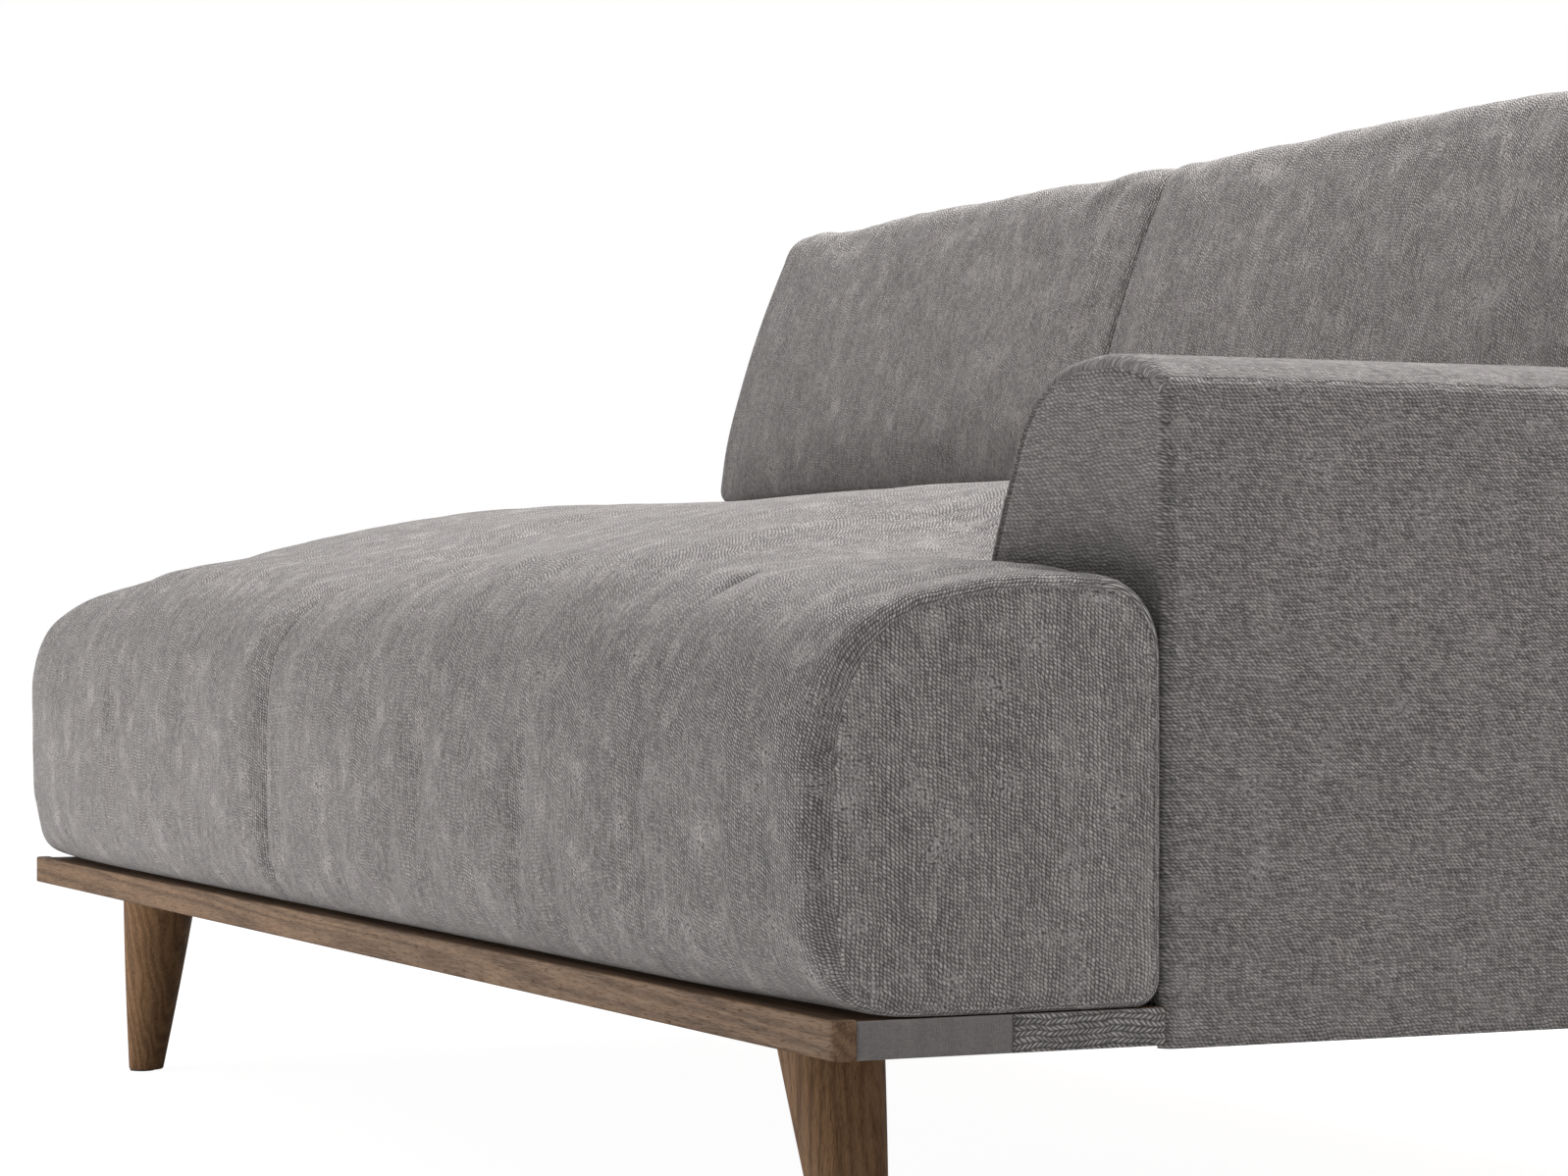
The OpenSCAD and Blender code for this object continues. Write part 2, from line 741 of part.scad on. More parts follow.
// Stations of one cushion: distance along its width with the inset there
function stations(x0, x1) = concat(
    [for (d = end_ds) [x0 + d, end_inset(d)]],
    [for (s = mid_shares) [x0 + s * (x1 - x0), 0]],
    [for (k = [len(end_ds) - 1 : -1 : 0]) [x1 - end_ds[k], end_inset(end_ds[k])]]);

function full_section(x0, x1, x) = let (drop = crown_drop((x - x0) / (x1 - x0)))
    concat(lip_curve(drop), full_rest(drop));

left_seat_x = [x_left + cushion_gap, x_seam - cushion_gap / 2];
right_seat_x = [x_seam + cushion_gap / 2, x_arm - cushion_gap];
ear_end_x = x_right - cushion_gap;

left_rings = [for (s = stations(left_seat_x[0], left_seat_x[1]))
    seat_ring(s[0], full_section(left_seat_x[0], left_seat_x[1], s[0]), s[1])];

// The wrap-round cushion's full sections, which end square against the arm and the ear
right_rings = [for (s = stations(right_seat_x[0], right_seat_x[1]))
    seat_ring(s[0], full_section(right_seat_x[0], right_seat_x[1], s[0]),
              s[0] < (right_seat_x[0] + right_seat_x[1]) / 2 ? s[1] : 0)];

// Points of the end faces from which all their edges can be seen
function front_point(ring) = [ring[0][0], seat_lip_y, seat_z + seat_belly_z];
function rear_point(ring) = [ring[0][0], (y_step + crest_y) / 2, (seat_rest_z + crest_z) / 2];

// The two chambers of a full ring of points
joint_index = len(lip_curve(0)) + lip_steps - 1;
function front_ring(ring) = let (n = len(ring)) concat(
    [for (k = [0 : joint_index]) ring[k]], [for (k = [n - foot_steps - 1 : n - 1]) ring[k]]);
function rear_ring(ring) = [for (k = [joint_index : len(ring) - foot_steps - 2]) ring[k]];

module front_solid(rings) {
    ring_solid([for (ring = rings) front_ring(ring)],
               front_point(rings[0]), front_point(rings[len(rings) - 1]));
}

module rear_solid(rings) {
    ring_solid([for (ring = rings) rear_ring(ring)],
               rear_point(rings[0]), rear_point(rings[len(rings) - 1]));
}

// The ear of that cushion, in front of the arm
module right_ear_form() {
    ear_x = right_seat_x[1];
    ear_span = ear_end_x - ear_x;
    ear_drops = [for (s = ear_drop_shares) s * crown_drop(1)];
    ear_mid = [for (k = [0 : 3])
        let (x = ear_x + ear_span * ear_shares[k])
        [for (p = concat(lip_curve(ear_drops[k]), ear_rest(ear_drops[k]))) [x, p[0], p[1]]]];
    ear_tip = [for (k = [len(end_ds) - 2 : -1 : 0]) let (d = end_ds[k])
        seat_ring(ear_end_x - d, concat(lip_curve(ear_drops[3]), ear_rest(ear_drops[3])),
                  end_inset(d))];
    rings = concat(ear_mid, ear_tip);
    ring_solid(rings, front_point(rings[0]), front_point(rings[len(rings) - 1]));
}

// The foam block inside a seat cushion, grown by g
module seat_block(x0, x1, g) {
    z_low = seat_rest_z + core_wrap / 2;
    z_high = seat_z + seat_ear_h - core_wrap;
    y0 = seat_front_y + core_wrap + cushion_overhang;
    block([x0 - g, y0 - g, z_low - g],
          [x1 + g, y_deck_end - core_wrap / 2 + g, z_high + g]);
    block([x0 - g, y0 - g, seat_z + core_wrap / 2 - g],
          [x1 + g, y_lip - core_wrap / 2 + g, z_low + g]);
}

module right_seat_block(g) {
    z_high = seat_z + seat_ear_h - core_wrap;
    union() {
        seat_block(right_seat_x[0] + core_wrap, right_seat_x[1] - core_wrap, g);
        block([right_seat_x[1] - core_wrap - g, seat_front_y + core_wrap + cushion_overhang - g,
               seat_z + core_wrap / 2 - g],
              [ear_end_x - core_wrap + g, ear_back_y - core_wrap + g, z_high + g]);
    }
}

module left_seat_block(g) {
    union() seat_block(left_seat_x[0] + core_wrap, left_seat_x[1] - core_wrap, g);
}

module left_seat_cover() {
    color(cloth) difference() {
        rear_solid(left_rings);
        left_seat_block(core_gap);
    }
}
module left_lip_cover() {
    color(cloth) difference() {
        front_solid(left_rings);
        left_seat_block(core_gap);
    }
}
module left_seat_core() { color(foam) left_seat_block(0); }

module right_seat_cover() {
    color(cloth) difference() {
        rear_solid(right_rings);
        right_seat_block(core_gap);
    }
}
module right_lip_cover() {
    color(cloth) difference() {
        front_solid(right_rings);
        right_seat_block(core_gap);
    }
}
module right_ear_cover() {
    color(cloth) difference() {
        right_ear_form();
        right_seat_block(core_gap);
    }
}
module right_seat_core() { color(foam) right_seat_block(0); }

// Back cushions, drawn upright from their rear lower edge and leant back
pad_steps = 5;
pad_small_r = pad_r / 2;
pad_front_shares = [0.3, 0.45, 0.6];
pad_top_draw_share = 0.4;
pad_end_share = 1.5;
pad_core_rear_share = 0.7;
pad_core_front_share = 1.6;
pad_end_d = pad_r * pad_end_share;

// Section of a back cushion: [forward, up], with its front drawn in by e and its top by t
function pad_section(e, t) = let (
    front = pad_t - e, top = pad_h - t, seam = pad_small_r / 2
) concat(
    [[seam, 0], [front - pad_small_r, 0]],
    [for (k = [1 : 3]) let (a = 270 + 30 * k)
        [front - pad_small_r + pad_small_r * cos(a), pad_small_r + pad_small_r * sin(a)]],
    [for (s = pad_front_shares) [front, s * top]],
    [for (k = [0 : pad_steps]) let (a = 90 * k / pad_steps)
        [front - pad_r + pad_r * cos(a) - e * pad_top_draw_share * k / pad_steps,
         top - pad_r + pad_r * sin(a)]],
    [[front / 2, top]],
    [for (k = [1 : 3]) let (a = 90 + 30 * k)
        [pad_small_r + pad_small_r * cos(a), top - pad_small_r + pad_small_r * sin(a)]],
    [[0, pad_h / 2], [0, seam]]);

function pad_ring(x, e, t) = [for (p = pad_section(e, t)) [x, p[0], p[1]]];

pad_end_shares = [0, 0.12, 0.4, 1];
pad_mid_shares = [0.25, 0.5, 0.75];
function pad_draw_at(d) = d >= pad_end_d ? 0 : pow(1 - d / pad_end_d, 2);
function pad_stations(w) = concat(
    [for (s = pad_end_shares) s * pad_end_d],
    [for (s = pad_mid_shares) s * w],
    [for (k = [len(pad_end_shares) - 1 : -1 : 0]) w - pad_end_shares[k] * pad_end_d]);

module pad_form(w) {
    rings = [for (x = pad_stations(w)) let (d = min(x, w - x), c = pow(abs(2 * x / w - 1), 2))
        pad_ring(x, pad_r * pad_draw_at(d) + pad_draw * c, pad_draw * (pad_draw_at(d) + c / 2))];
    ring_solid(rings, [0, pad_t / 2, pad_h / 2], [w, pad_t / 2, pad_h / 2]);
}

// Places a back cushion that is drawn with [x, forward, up] onto its seat and the back
module leant(x0) {
    translate([x0, back_y(pad_foot_z) - cushion_gap, pad_foot_z])
        rotate([-back_lean, 0, 0])
        mirror([0, 1, 0]) children();
}

left_pad_w = left_seat_x[1] - left_seat_x[0] - cushion_gap;
right_pad_w = right_seat_x[1] - right_seat_x[0] - cushion_gap;

module pad_block(w, g) {
    block([pad_wrap - g, pad_wrap * pad_core_rear_share - g, pad_wrap - g],
          [w - pad_wrap + g, pad_t - pad_wrap * pad_core_front_share + g, pad_h - pad_wrap + g]);
}

module pad_cover(x0, w) {
    color(cloth) leant(x0) difference() {
        pad_form(w);
        pad_block(w, core_gap);
    }
}

module left_back_cover() { pad_cover(left_seat_x[0] + cushion_gap / 2, left_pad_w); }
module left_back_core() {
    color(foam) leant(left_seat_x[0] + cushion_gap / 2) pad_block(left_pad_w, 0);
}
module right_back_cover() { pad_cover(right_seat_x[0] + cushion_gap / 2, right_pad_w); }
module right_back_core() {
    color(foam) leant(right_seat_x[0] + cushion_gap / 2) pad_block(right_pad_w, 0);
}

front_rail();
front_board();
rear_board();
left_board();
right_board();
centre_board();
deck_front_beam();
deck_rear_beam();
deck_left_beam();
deck_right_beam();
deck_centre_beam();
corner_blocks();
seat_webbing();
deck_cloth();
underside_lining();
platform_screws();
front_left_leg();
front_right_leg();
rear_left_leg();
rear_right_leg();
leg_bolts();
leg_nuts();
leg_glides();
side_band();
side_band_coarse();
left_end_cover();
arm_front_post();
arm_rear_post();
arm_top_rail();
arm_bottom_rail();
arm_side_panel();
arm_padding();
arm_side_cover();
arm_front_cover();
arm_rear_cover();
arm_top_cover();
arm_bolts();
back_left_post();
back_centre_post();
back_right_post();
back_top_rails();
back_bottom_rails();
back_webbing();
back_padding();
back_front_cover();
back_rear_cover();
back_end_cover();
back_bolts();
right_seat_cover();
right_lip_cover();
right_ear_cover();
right_seat_core();
left_seat_cover();
left_lip_cover();
left_seat_core();
right_back_cover();
right_back_core();
left_back_cover();
left_back_core();
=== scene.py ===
"""Looks of the modular sofa section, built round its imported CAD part.

Everything is in metres in the part's own frame: X to the sofa's right, Y to its back, Z up.
"""

import json
import logging
import math
from collections.abc import Callable, Sequence
from dataclasses import dataclass, field
from enum import Enum

import bmesh
import bpy
import numpy as np
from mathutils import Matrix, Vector


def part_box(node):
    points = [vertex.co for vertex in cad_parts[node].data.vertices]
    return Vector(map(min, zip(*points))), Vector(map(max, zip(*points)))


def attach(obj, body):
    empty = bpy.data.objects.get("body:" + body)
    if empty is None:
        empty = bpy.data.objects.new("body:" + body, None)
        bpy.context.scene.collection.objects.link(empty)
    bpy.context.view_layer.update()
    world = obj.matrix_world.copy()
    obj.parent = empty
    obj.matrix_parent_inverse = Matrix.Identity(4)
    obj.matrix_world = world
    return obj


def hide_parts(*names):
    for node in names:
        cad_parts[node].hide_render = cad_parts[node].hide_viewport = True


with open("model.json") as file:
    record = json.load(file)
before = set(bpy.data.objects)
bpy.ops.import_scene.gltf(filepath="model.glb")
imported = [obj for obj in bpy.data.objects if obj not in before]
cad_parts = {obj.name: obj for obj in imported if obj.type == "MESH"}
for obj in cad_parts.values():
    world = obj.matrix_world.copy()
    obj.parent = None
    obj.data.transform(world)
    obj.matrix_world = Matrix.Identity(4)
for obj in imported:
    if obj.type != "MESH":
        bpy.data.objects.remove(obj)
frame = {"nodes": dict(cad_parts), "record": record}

LOG = logging.getLogger("sofa")
UV_NAME = "cloth"
WELD = 2e-5
Array = np.ndarray
Colour = tuple[float, float, float]


@dataclass(frozen=True)
class Size:
    """Sizes shared with the CAD part, in metres."""

    left: float = -0.855
    right: float = 0.855
    rail_y: float = -0.470
    rail_t: float = 0.014
    rail_h: float = 0.023
    back_y: float = 0.490
    arm_y: float = -0.259
    arm_x: float = 0.643
    floor_z: float = 0.168
    top_z: float = 0.190
    cloth_z: float = 0.2535
    cover: float = 0.0025
    gap: float = 0.0006
    lean: float = math.radians(14.0)
    foot_y: float = 0.316116
    back_z: float = 0.735
    seat_z: float = 0.1903
    rest_z: float = 0.2538
    seat_y: float = -0.490
    under_y: float = -0.390
    belly_z: float = 0.3103
    step_y: float = -0.2386
    ear_y: float = -0.2596
    crest_y: float = 0.2347
    pad_y: float = 0.38997
    pad_z: float = 0.48860

    def lean_y(self, z: float) -> float:
        """Front of the leaning back.

        Args:
            z: Height.

        Returns:
            The y of the back's front face at that height.
        """
        return self.foot_y + (z - self.top_z) * math.tan(self.lean)


SIZE = Size()


# ---------------------------------------------------------------- curves and surfaces
def table_curve(x: Array, xs: Sequence[float], ys: Sequence[float]) -> Array:
    """Smooth curve through a table: cubic Hermite pieces with central-difference slopes.

    Args:
        x: Where to evaluate.
        xs: Increasing arguments of the table.
        ys: Its values.

    Returns:
        The curve's values at x.
    """
    xs, ys = np.asarray(xs, float), np.asarray(ys, float)
    slope = np.gradient(ys, xs)
    k = np.clip(np.searchsorted(xs, x, side="right") - 1, 0, len(xs) - 2)
    h = xs[k + 1] - xs[k]
    t = np.clip((x - xs[k]) / h, 0.0, 1.0)
    return (
        (2 * t**3 - 3 * t**2 + 1) * ys[k]
        + (t**3 - 2 * t**2 + t) * h * slope[k]
        + (3 * t**2 - 2 * t**3) * ys[k + 1]
        + (t**3 - t**2) * h * slope[k + 1]
    )


def smooth(x: Array, low: float, high: float) -> Array:
    """Smoothstep from 0 at low to 1 at high: 3t^2 - 2t^3.

    Args:
        x: Values.
        low: Where it starts to rise.
        high: Where it reaches 1.

    Returns:
        The step's values.
    """
    t = np.clip((np.asarray(x, float) - low) / (high - low), 0.0, 1.0)
    return t * t * (3 - 2 * t)


def superellipse(
    centre: tuple[float, float], axes: tuple[float, float], power: float, start: float, end: float, count: int
) -> Array:
    """Arc of |u/a|^p + |v/b|^p = 1 in angle steps that are even along the arc.

    Args:
        centre: Its centre.
        axes: Half axes a and b.
        power: The exponent p.
        start: First angle in degrees.
        end: Last angle in degrees.
        count: Number of points.

    Returns:
        The points, count by 2.
    """
    a = np.radians(np.linspace(start, end, 400))
    c, s = np.cos(a), np.sin(a)
    u = centre[0] + axes[0] * np.sign(c) * np.abs(c) ** (2 / power)
    v = centre[1] + axes[1] * np.sign(s) * np.abs(s) ** (2 / power)
    return resample(np.stack([u, v], 1), count)


def resample(points: Array, count: int) -> Array:
    """Points spaced evenly by arc length along an open polyline.

    Args:
        points: The polyline, n by d.
        count: How many points to return.

    Returns:
        The new points, count by d.
    """
    points = np.asarray(points, float)
    s = np.r_[0.0, np.cumsum(np.linalg.norm(np.diff(points, axis=0), axis=1))]
    t = np.linspace(0.0, s[-1], count)
    return np.stack([np.interp(t, s, points[:, k]) for k in range(points.shape[1])], 1)


def line(start: Sequence[float], end: Sequence[float], count: int) -> Array:
    """Evenly spaced points on a straight line.

    Args:
        start: First point.
        end: Last point.
        count: Number of points.

    Returns:
        The points, count by d.
    """
    return np.linspace(start, end, count)


def chain(*parts: Array) -> Array:
    """Joins polylines end to end, dropping each repeated join point.

    Args:
        parts: Polylines of which each starts where the one before ends.

    Returns:
        One polyline.
    """
    return np.concatenate([parts[0]] + [p[1:] for p in parts[1:]])


def lengths(points: Array, closed: bool = False) -> Array:
    """Distance along a polyline at each of its points.

    Args:
        points: The polyline.
        closed: Whether to add the way back to the first point.

    Returns:
        The running length, with one more value if closed.
    """
    if closed:
        points = np.concatenate([points, points[:1]])
    return np.r_[0.0, np.cumsum(np.linalg.norm(np.diff(points, axis=0), axis=1))]


def ring_normals(ring: Array) -> Array:
    """Outward normals of a closed plane ring, from the chord between each point's neighbours.

    Args:
        ring: Points, n by 2.

    Returns:
        Unit normals, n by 2.
    """
    t = np.roll(ring, -1, 0) - np.roll(ring, 1, 0)
    t /= np.maximum(np.linalg.norm(t, axis=1, keepdims=True), 1e-12)
    nxt = np.roll(ring, -1, 0)
    area = np.sum(ring[:, 0] * nxt[:, 1] - nxt[:, 0] * ring[:, 1])
    n = np.stack([t[:, 1], -t[:, 0]], 1)
    return n if area > 0 else -n


def at_x(x: float, ring: Array) -> Array:
    """Points (x, y, z) of a ring of (y, z)."""
    return np.column_stack([np.full(len(ring), x), ring])


def fill_ring(ring: Array, rounds: int = 260) -> Array:
    """Grid inside a closed ring: a Coons patch evened out by repeated averaging.

    Args:
        ring: Points, n by d, with n a multiple of four; corners are every n/4 points.
        rounds: Averaging rounds.

    Returns:
        The grid, n/4+1 by n/4+1 by d, whose border is the ring.
    """
    n = len(ring) // 4
    low, right = ring[: n + 1], ring[n : 2 * n + 1]
    top = ring[2 * n : 3 * n + 1][::-1]
    left = np.concatenate([ring[3 * n :], ring[:1]])[::-1]
    u = np.linspace(0, 1, n + 1)[None, :, None]
    v = np.linspace(0, 1, n + 1)[:, None, None]
    grid = (
        (1 - v) * low[None] + v * top[None] + (1 - u) * left[:, None] + u * right[:, None]
        - (1 - v) * ((1 - u) * ring[0] + u * ring[n]) - v * ((1 - u) * ring[3 * n] + u * ring[2 * n])
    )
    grid[0], grid[-1], grid[:, 0], grid[:, -1] = low, top, left, right
    for _ in range(rounds):
        grid[1:-1, 1:-1] = (grid[2:, 1:-1] + grid[:-2, 1:-1] + grid[1:-1, 2:] + grid[1:-1, :-2]) / 4
    return grid


def waves(p: Array, scale: float, seed: int, octaves: int = 3) -> Array:
    """Smooth irregular field in about -1..1: a sum of sines along random directions.

    Args:
        p: Points, ... by 3.
        scale: Wavelength in metres of the first octave.
        seed: Seed of the directions.
        octaves: How many halvings of the wavelength.

    Returns:
        The field at the points.
    """
    rng = np.random.default_rng(seed)
    total = np.zeros(p.shape[:-1])
    for k in range(octaves):
        for _ in range(5):
            d = rng.normal(size=3)
            d *= 2 * math.pi * 2**k / (scale * np.linalg.norm(d))
            total += 0.6**k * np.sin(p @ d + rng.uniform(0, 2 * math.pi)) / 5 * 1.3
    return total


@dataclass
class Patch:
    """A grid of points with its cloth coordinates in metres."""

    points: Array
    uv: Array


def tube_patch(rings: Array, around: Array, origin: float = 0.0) -> Patch:
    """Patch through closed rings, closed by repeating each ring's first point.

    The cloth coordinate along the tube is the distance from the first ring, measured at each
    ring point, so that the weave isn't squeezed where an end is rounded.

    Args:
        rings: Stations by points by 3.
        around: Cloth coordinate of each ring point, with the closing one.
        origin: Cloth coordinate along the tube at its middle ring.

    Returns:
        The patch.
    """
    closed = np.concatenate([rings, rings[:, :1]], 1)
    along = np.zeros(closed.shape[:2])
    along[1:] = np.cumsum(np.linalg.norm(np.diff(closed, axis=0), axis=2), axis=0)
    along += origin - along[len(rings) // 2]
    return Patch(closed, np.stack([along, np.broadcast_to(around, along.shape)], -1))


def build(
    name: str, patches: Sequence[Patch], inside: Sequence[float] | None = None
) -> bpy.types.Object:
    """Makes one welded, smooth-shaded mesh object of some patches.

    Args:
        name: The object's name.
        patches: Its patches; borders that meet are merged.
        inside: For an open sheet, a point that its normals must face away from.

    Returns:
        The object, at the origin.
    """
    points, faces, uvs, base = [], [], [], 0
    for patch in patches:
        rows, columns = patch.points.shape[:2]
        index = np.arange(rows * columns).reshape(rows, columns)
        quads = np.stack([index[:-1, :-1], index[:-1, 1:], index[1:, 1:], index[1:, :-1]], -1).reshape(-1, 4)
        points.append(patch.points.reshape(-1, 3))
        uvs.append(patch.uv.reshape(-1, 2)[quads.ravel()])
        faces.append(quads + base)
        base += rows * columns
    mesh = bpy.data.meshes.new(name)
    mesh.from_pydata(np.concatenate(points).tolist(), [], np.concatenate(faces).tolist())
    layer = mesh.uv_layers.new(name=UV_NAME)
    layer.data.foreach_set("uv", np.concatenate(uvs).ravel().astype(np.float32))
    bm = bmesh.new()
    bm.from_mesh(mesh)
    bmesh.ops.remove_doubles(bm, verts=bm.verts, dist=WELD)
    bmesh.ops.dissolve_degenerate(bm, edges=bm.edges, dist=1e-6)
    bmesh.ops.recalc_face_normals(bm, faces=bm.faces)
    if inside is not None:
        centre = Vector(inside)
        if sum((f.calc_center_median() - centre).dot(f.normal) * f.calc_area() for f in bm.faces) < 0:
            bmesh.ops.reverse_faces(bm, faces=bm.faces)
    bm.to_mesh(mesh)
    bm.free()
    mesh.polygons.foreach_set("use_smooth", np.ones(len(mesh.polygons), bool))
    obj = bpy.data.objects.new(name, mesh)
    bpy.context.scene.collection.objects.link(obj)
    return obj


# ---------------------------------------------------------------- materials
class Graph:
    """A material whose node tree is made by short calls."""

    def __init__(self, name: str) -> None:
        """Starts the material with an empty tree, a Principled shader and an output."""
        self.material = bpy.data.materials.new(name)
        self.material.use_nodes = True
        self.tree = self.material.node_tree
        self.tree.nodes.clear()
        self.shader = self.tree.nodes.new("ShaderNodeBsdfPrincipled")
        out = self.tree.nodes.new("ShaderNodeOutputMaterial")
        self.tree.links.new(self.shader.outputs[0], out.inputs[0])

    def feed(self, socket: bpy.types.NodeSocket, value: object) -> None:
        """Links a socket into another, or sets its value.

        Args:
            socket: The input.
            value: An output socket or a plain value.
        """
        if isinstance(value, bpy.types.NodeSocket):
            self.tree.links.new(value, socket)
        else:
            socket.default_value = value

    def node(self, kind: str, *inputs: object, **settings: object) -> bpy.types.Node:
        """Adds a node.

        Args:
            kind: Its type, without the ShaderNode prefix.
            inputs: Values for its first inputs; None leaves one alone.
            settings: Its properties.

        Returns:
            The node.
        """
        made = self.tree.nodes.new("ShaderNode" + kind)
        for key, value in settings.items():
            setattr(made, key, value)
        for socket, value in zip(made.inputs, inputs):
            if value is not None:
                self.feed(socket, value)
        return made

    def math(self, operation: str, *inputs: object) -> bpy.types.NodeSocket:
        """Adds a Math node and returns its result."""
        return self.node("Math", *inputs, operation=operation).outputs[0]

    def stretch(self, vector: bpy.types.NodeSocket, scale: Sequence[float]) -> bpy.types.NodeSocket:
        """Scales a vector by another and returns the result."""
        return self.node("VectorMath", vector, tuple(scale), operation="MULTIPLY").outputs[0]

    def noise(self, vector: bpy.types.NodeSocket, scale: float, detail: float = 2.0) -> bpy.types.NodeSocket:
        """Adds a noise texture and returns its factor, about 0.5 on average."""
        made = self.node("TexNoise")
        self.feed(made.inputs["Vector"], vector)
        made.inputs["Scale"].default_value = scale
        made.inputs["Detail"].default_value = detail
        return made.outputs["Factor" if "Factor" in made.outputs else "Fac"]

    def about(self, factor: bpy.types.NodeSocket, amount: float, centre: float = 0.5) -> bpy.types.NodeSocket:
        """Returns (factor - centre) * amount."""
        return self.math("MULTIPLY", self.math("SUBTRACT", factor, centre), amount)

    def total(self, *parts: object) -> object:
        """Returns the sum of several values."""
        result = parts[0]
        for part in parts[1:]:
            result = self.math("ADD", result, part)
        return result

    def tint(self, colour: Colour, tone: object) -> bpy.types.NodeSocket:
        """Returns a colour scaled by a tone."""
        made = self.node("VectorMath", colour, operation="SCALE")
        self.feed(made.inputs["Scale"], tone)
        return made.outputs[0]

    def mix(self, factor: object, first: object, second: object) -> bpy.types.NodeSocket:
        """Returns a colour between two colours."""
        made = self.node("Mix", data_type="RGBA")
        self.feed(made.inputs["Factor"], factor)
        for socket, value in ((made.inputs[6], first), (made.inputs[7], second)):
            self.feed(socket, (*value, 1.0) if isinstance(value, tuple) else value)
        return made.outputs[2]

    def finish(
        self, colour: object, roughness: object, height: object = None, distance: float = 0.001, **sockets: object
    ) -> bpy.types.Material:
        """Feeds the shader.

        Args:
            colour: Base colour.
            roughness: Roughness.
            height: Bump height, or None.
            distance: Bump distance in metres.
            sockets: Further shader values by name, with _ for a space.

        Returns:
            The material.
        """
        self.feed(self.shader.inputs["Base Color"], (*colour, 1.0) if isinstance(colour, tuple) else colour)
        self.feed(self.shader.inputs["Roughness"], roughness)
        for key, value in sockets.items():
            self.feed(self.shader.inputs[key.replace("_", " ")], value)
        if height is not None:
            bump = self.node("Bump")
            bump.inputs["Strength"].default_value = 1.0
            bump.inputs["Distance"].default_value = distance
            self.feed(bump.inputs["Height"], height)
            self.feed(self.shader.inputs["Normal"], bump.outputs[0])
        return self.material


class Stitch(Enum):
    """Slant of a cloth's stitches and whether it turns round from row to row."""

    PLAIN = (0.0, False)
    TWILL = (0.75, False)
    KNIT = (1.1, True)


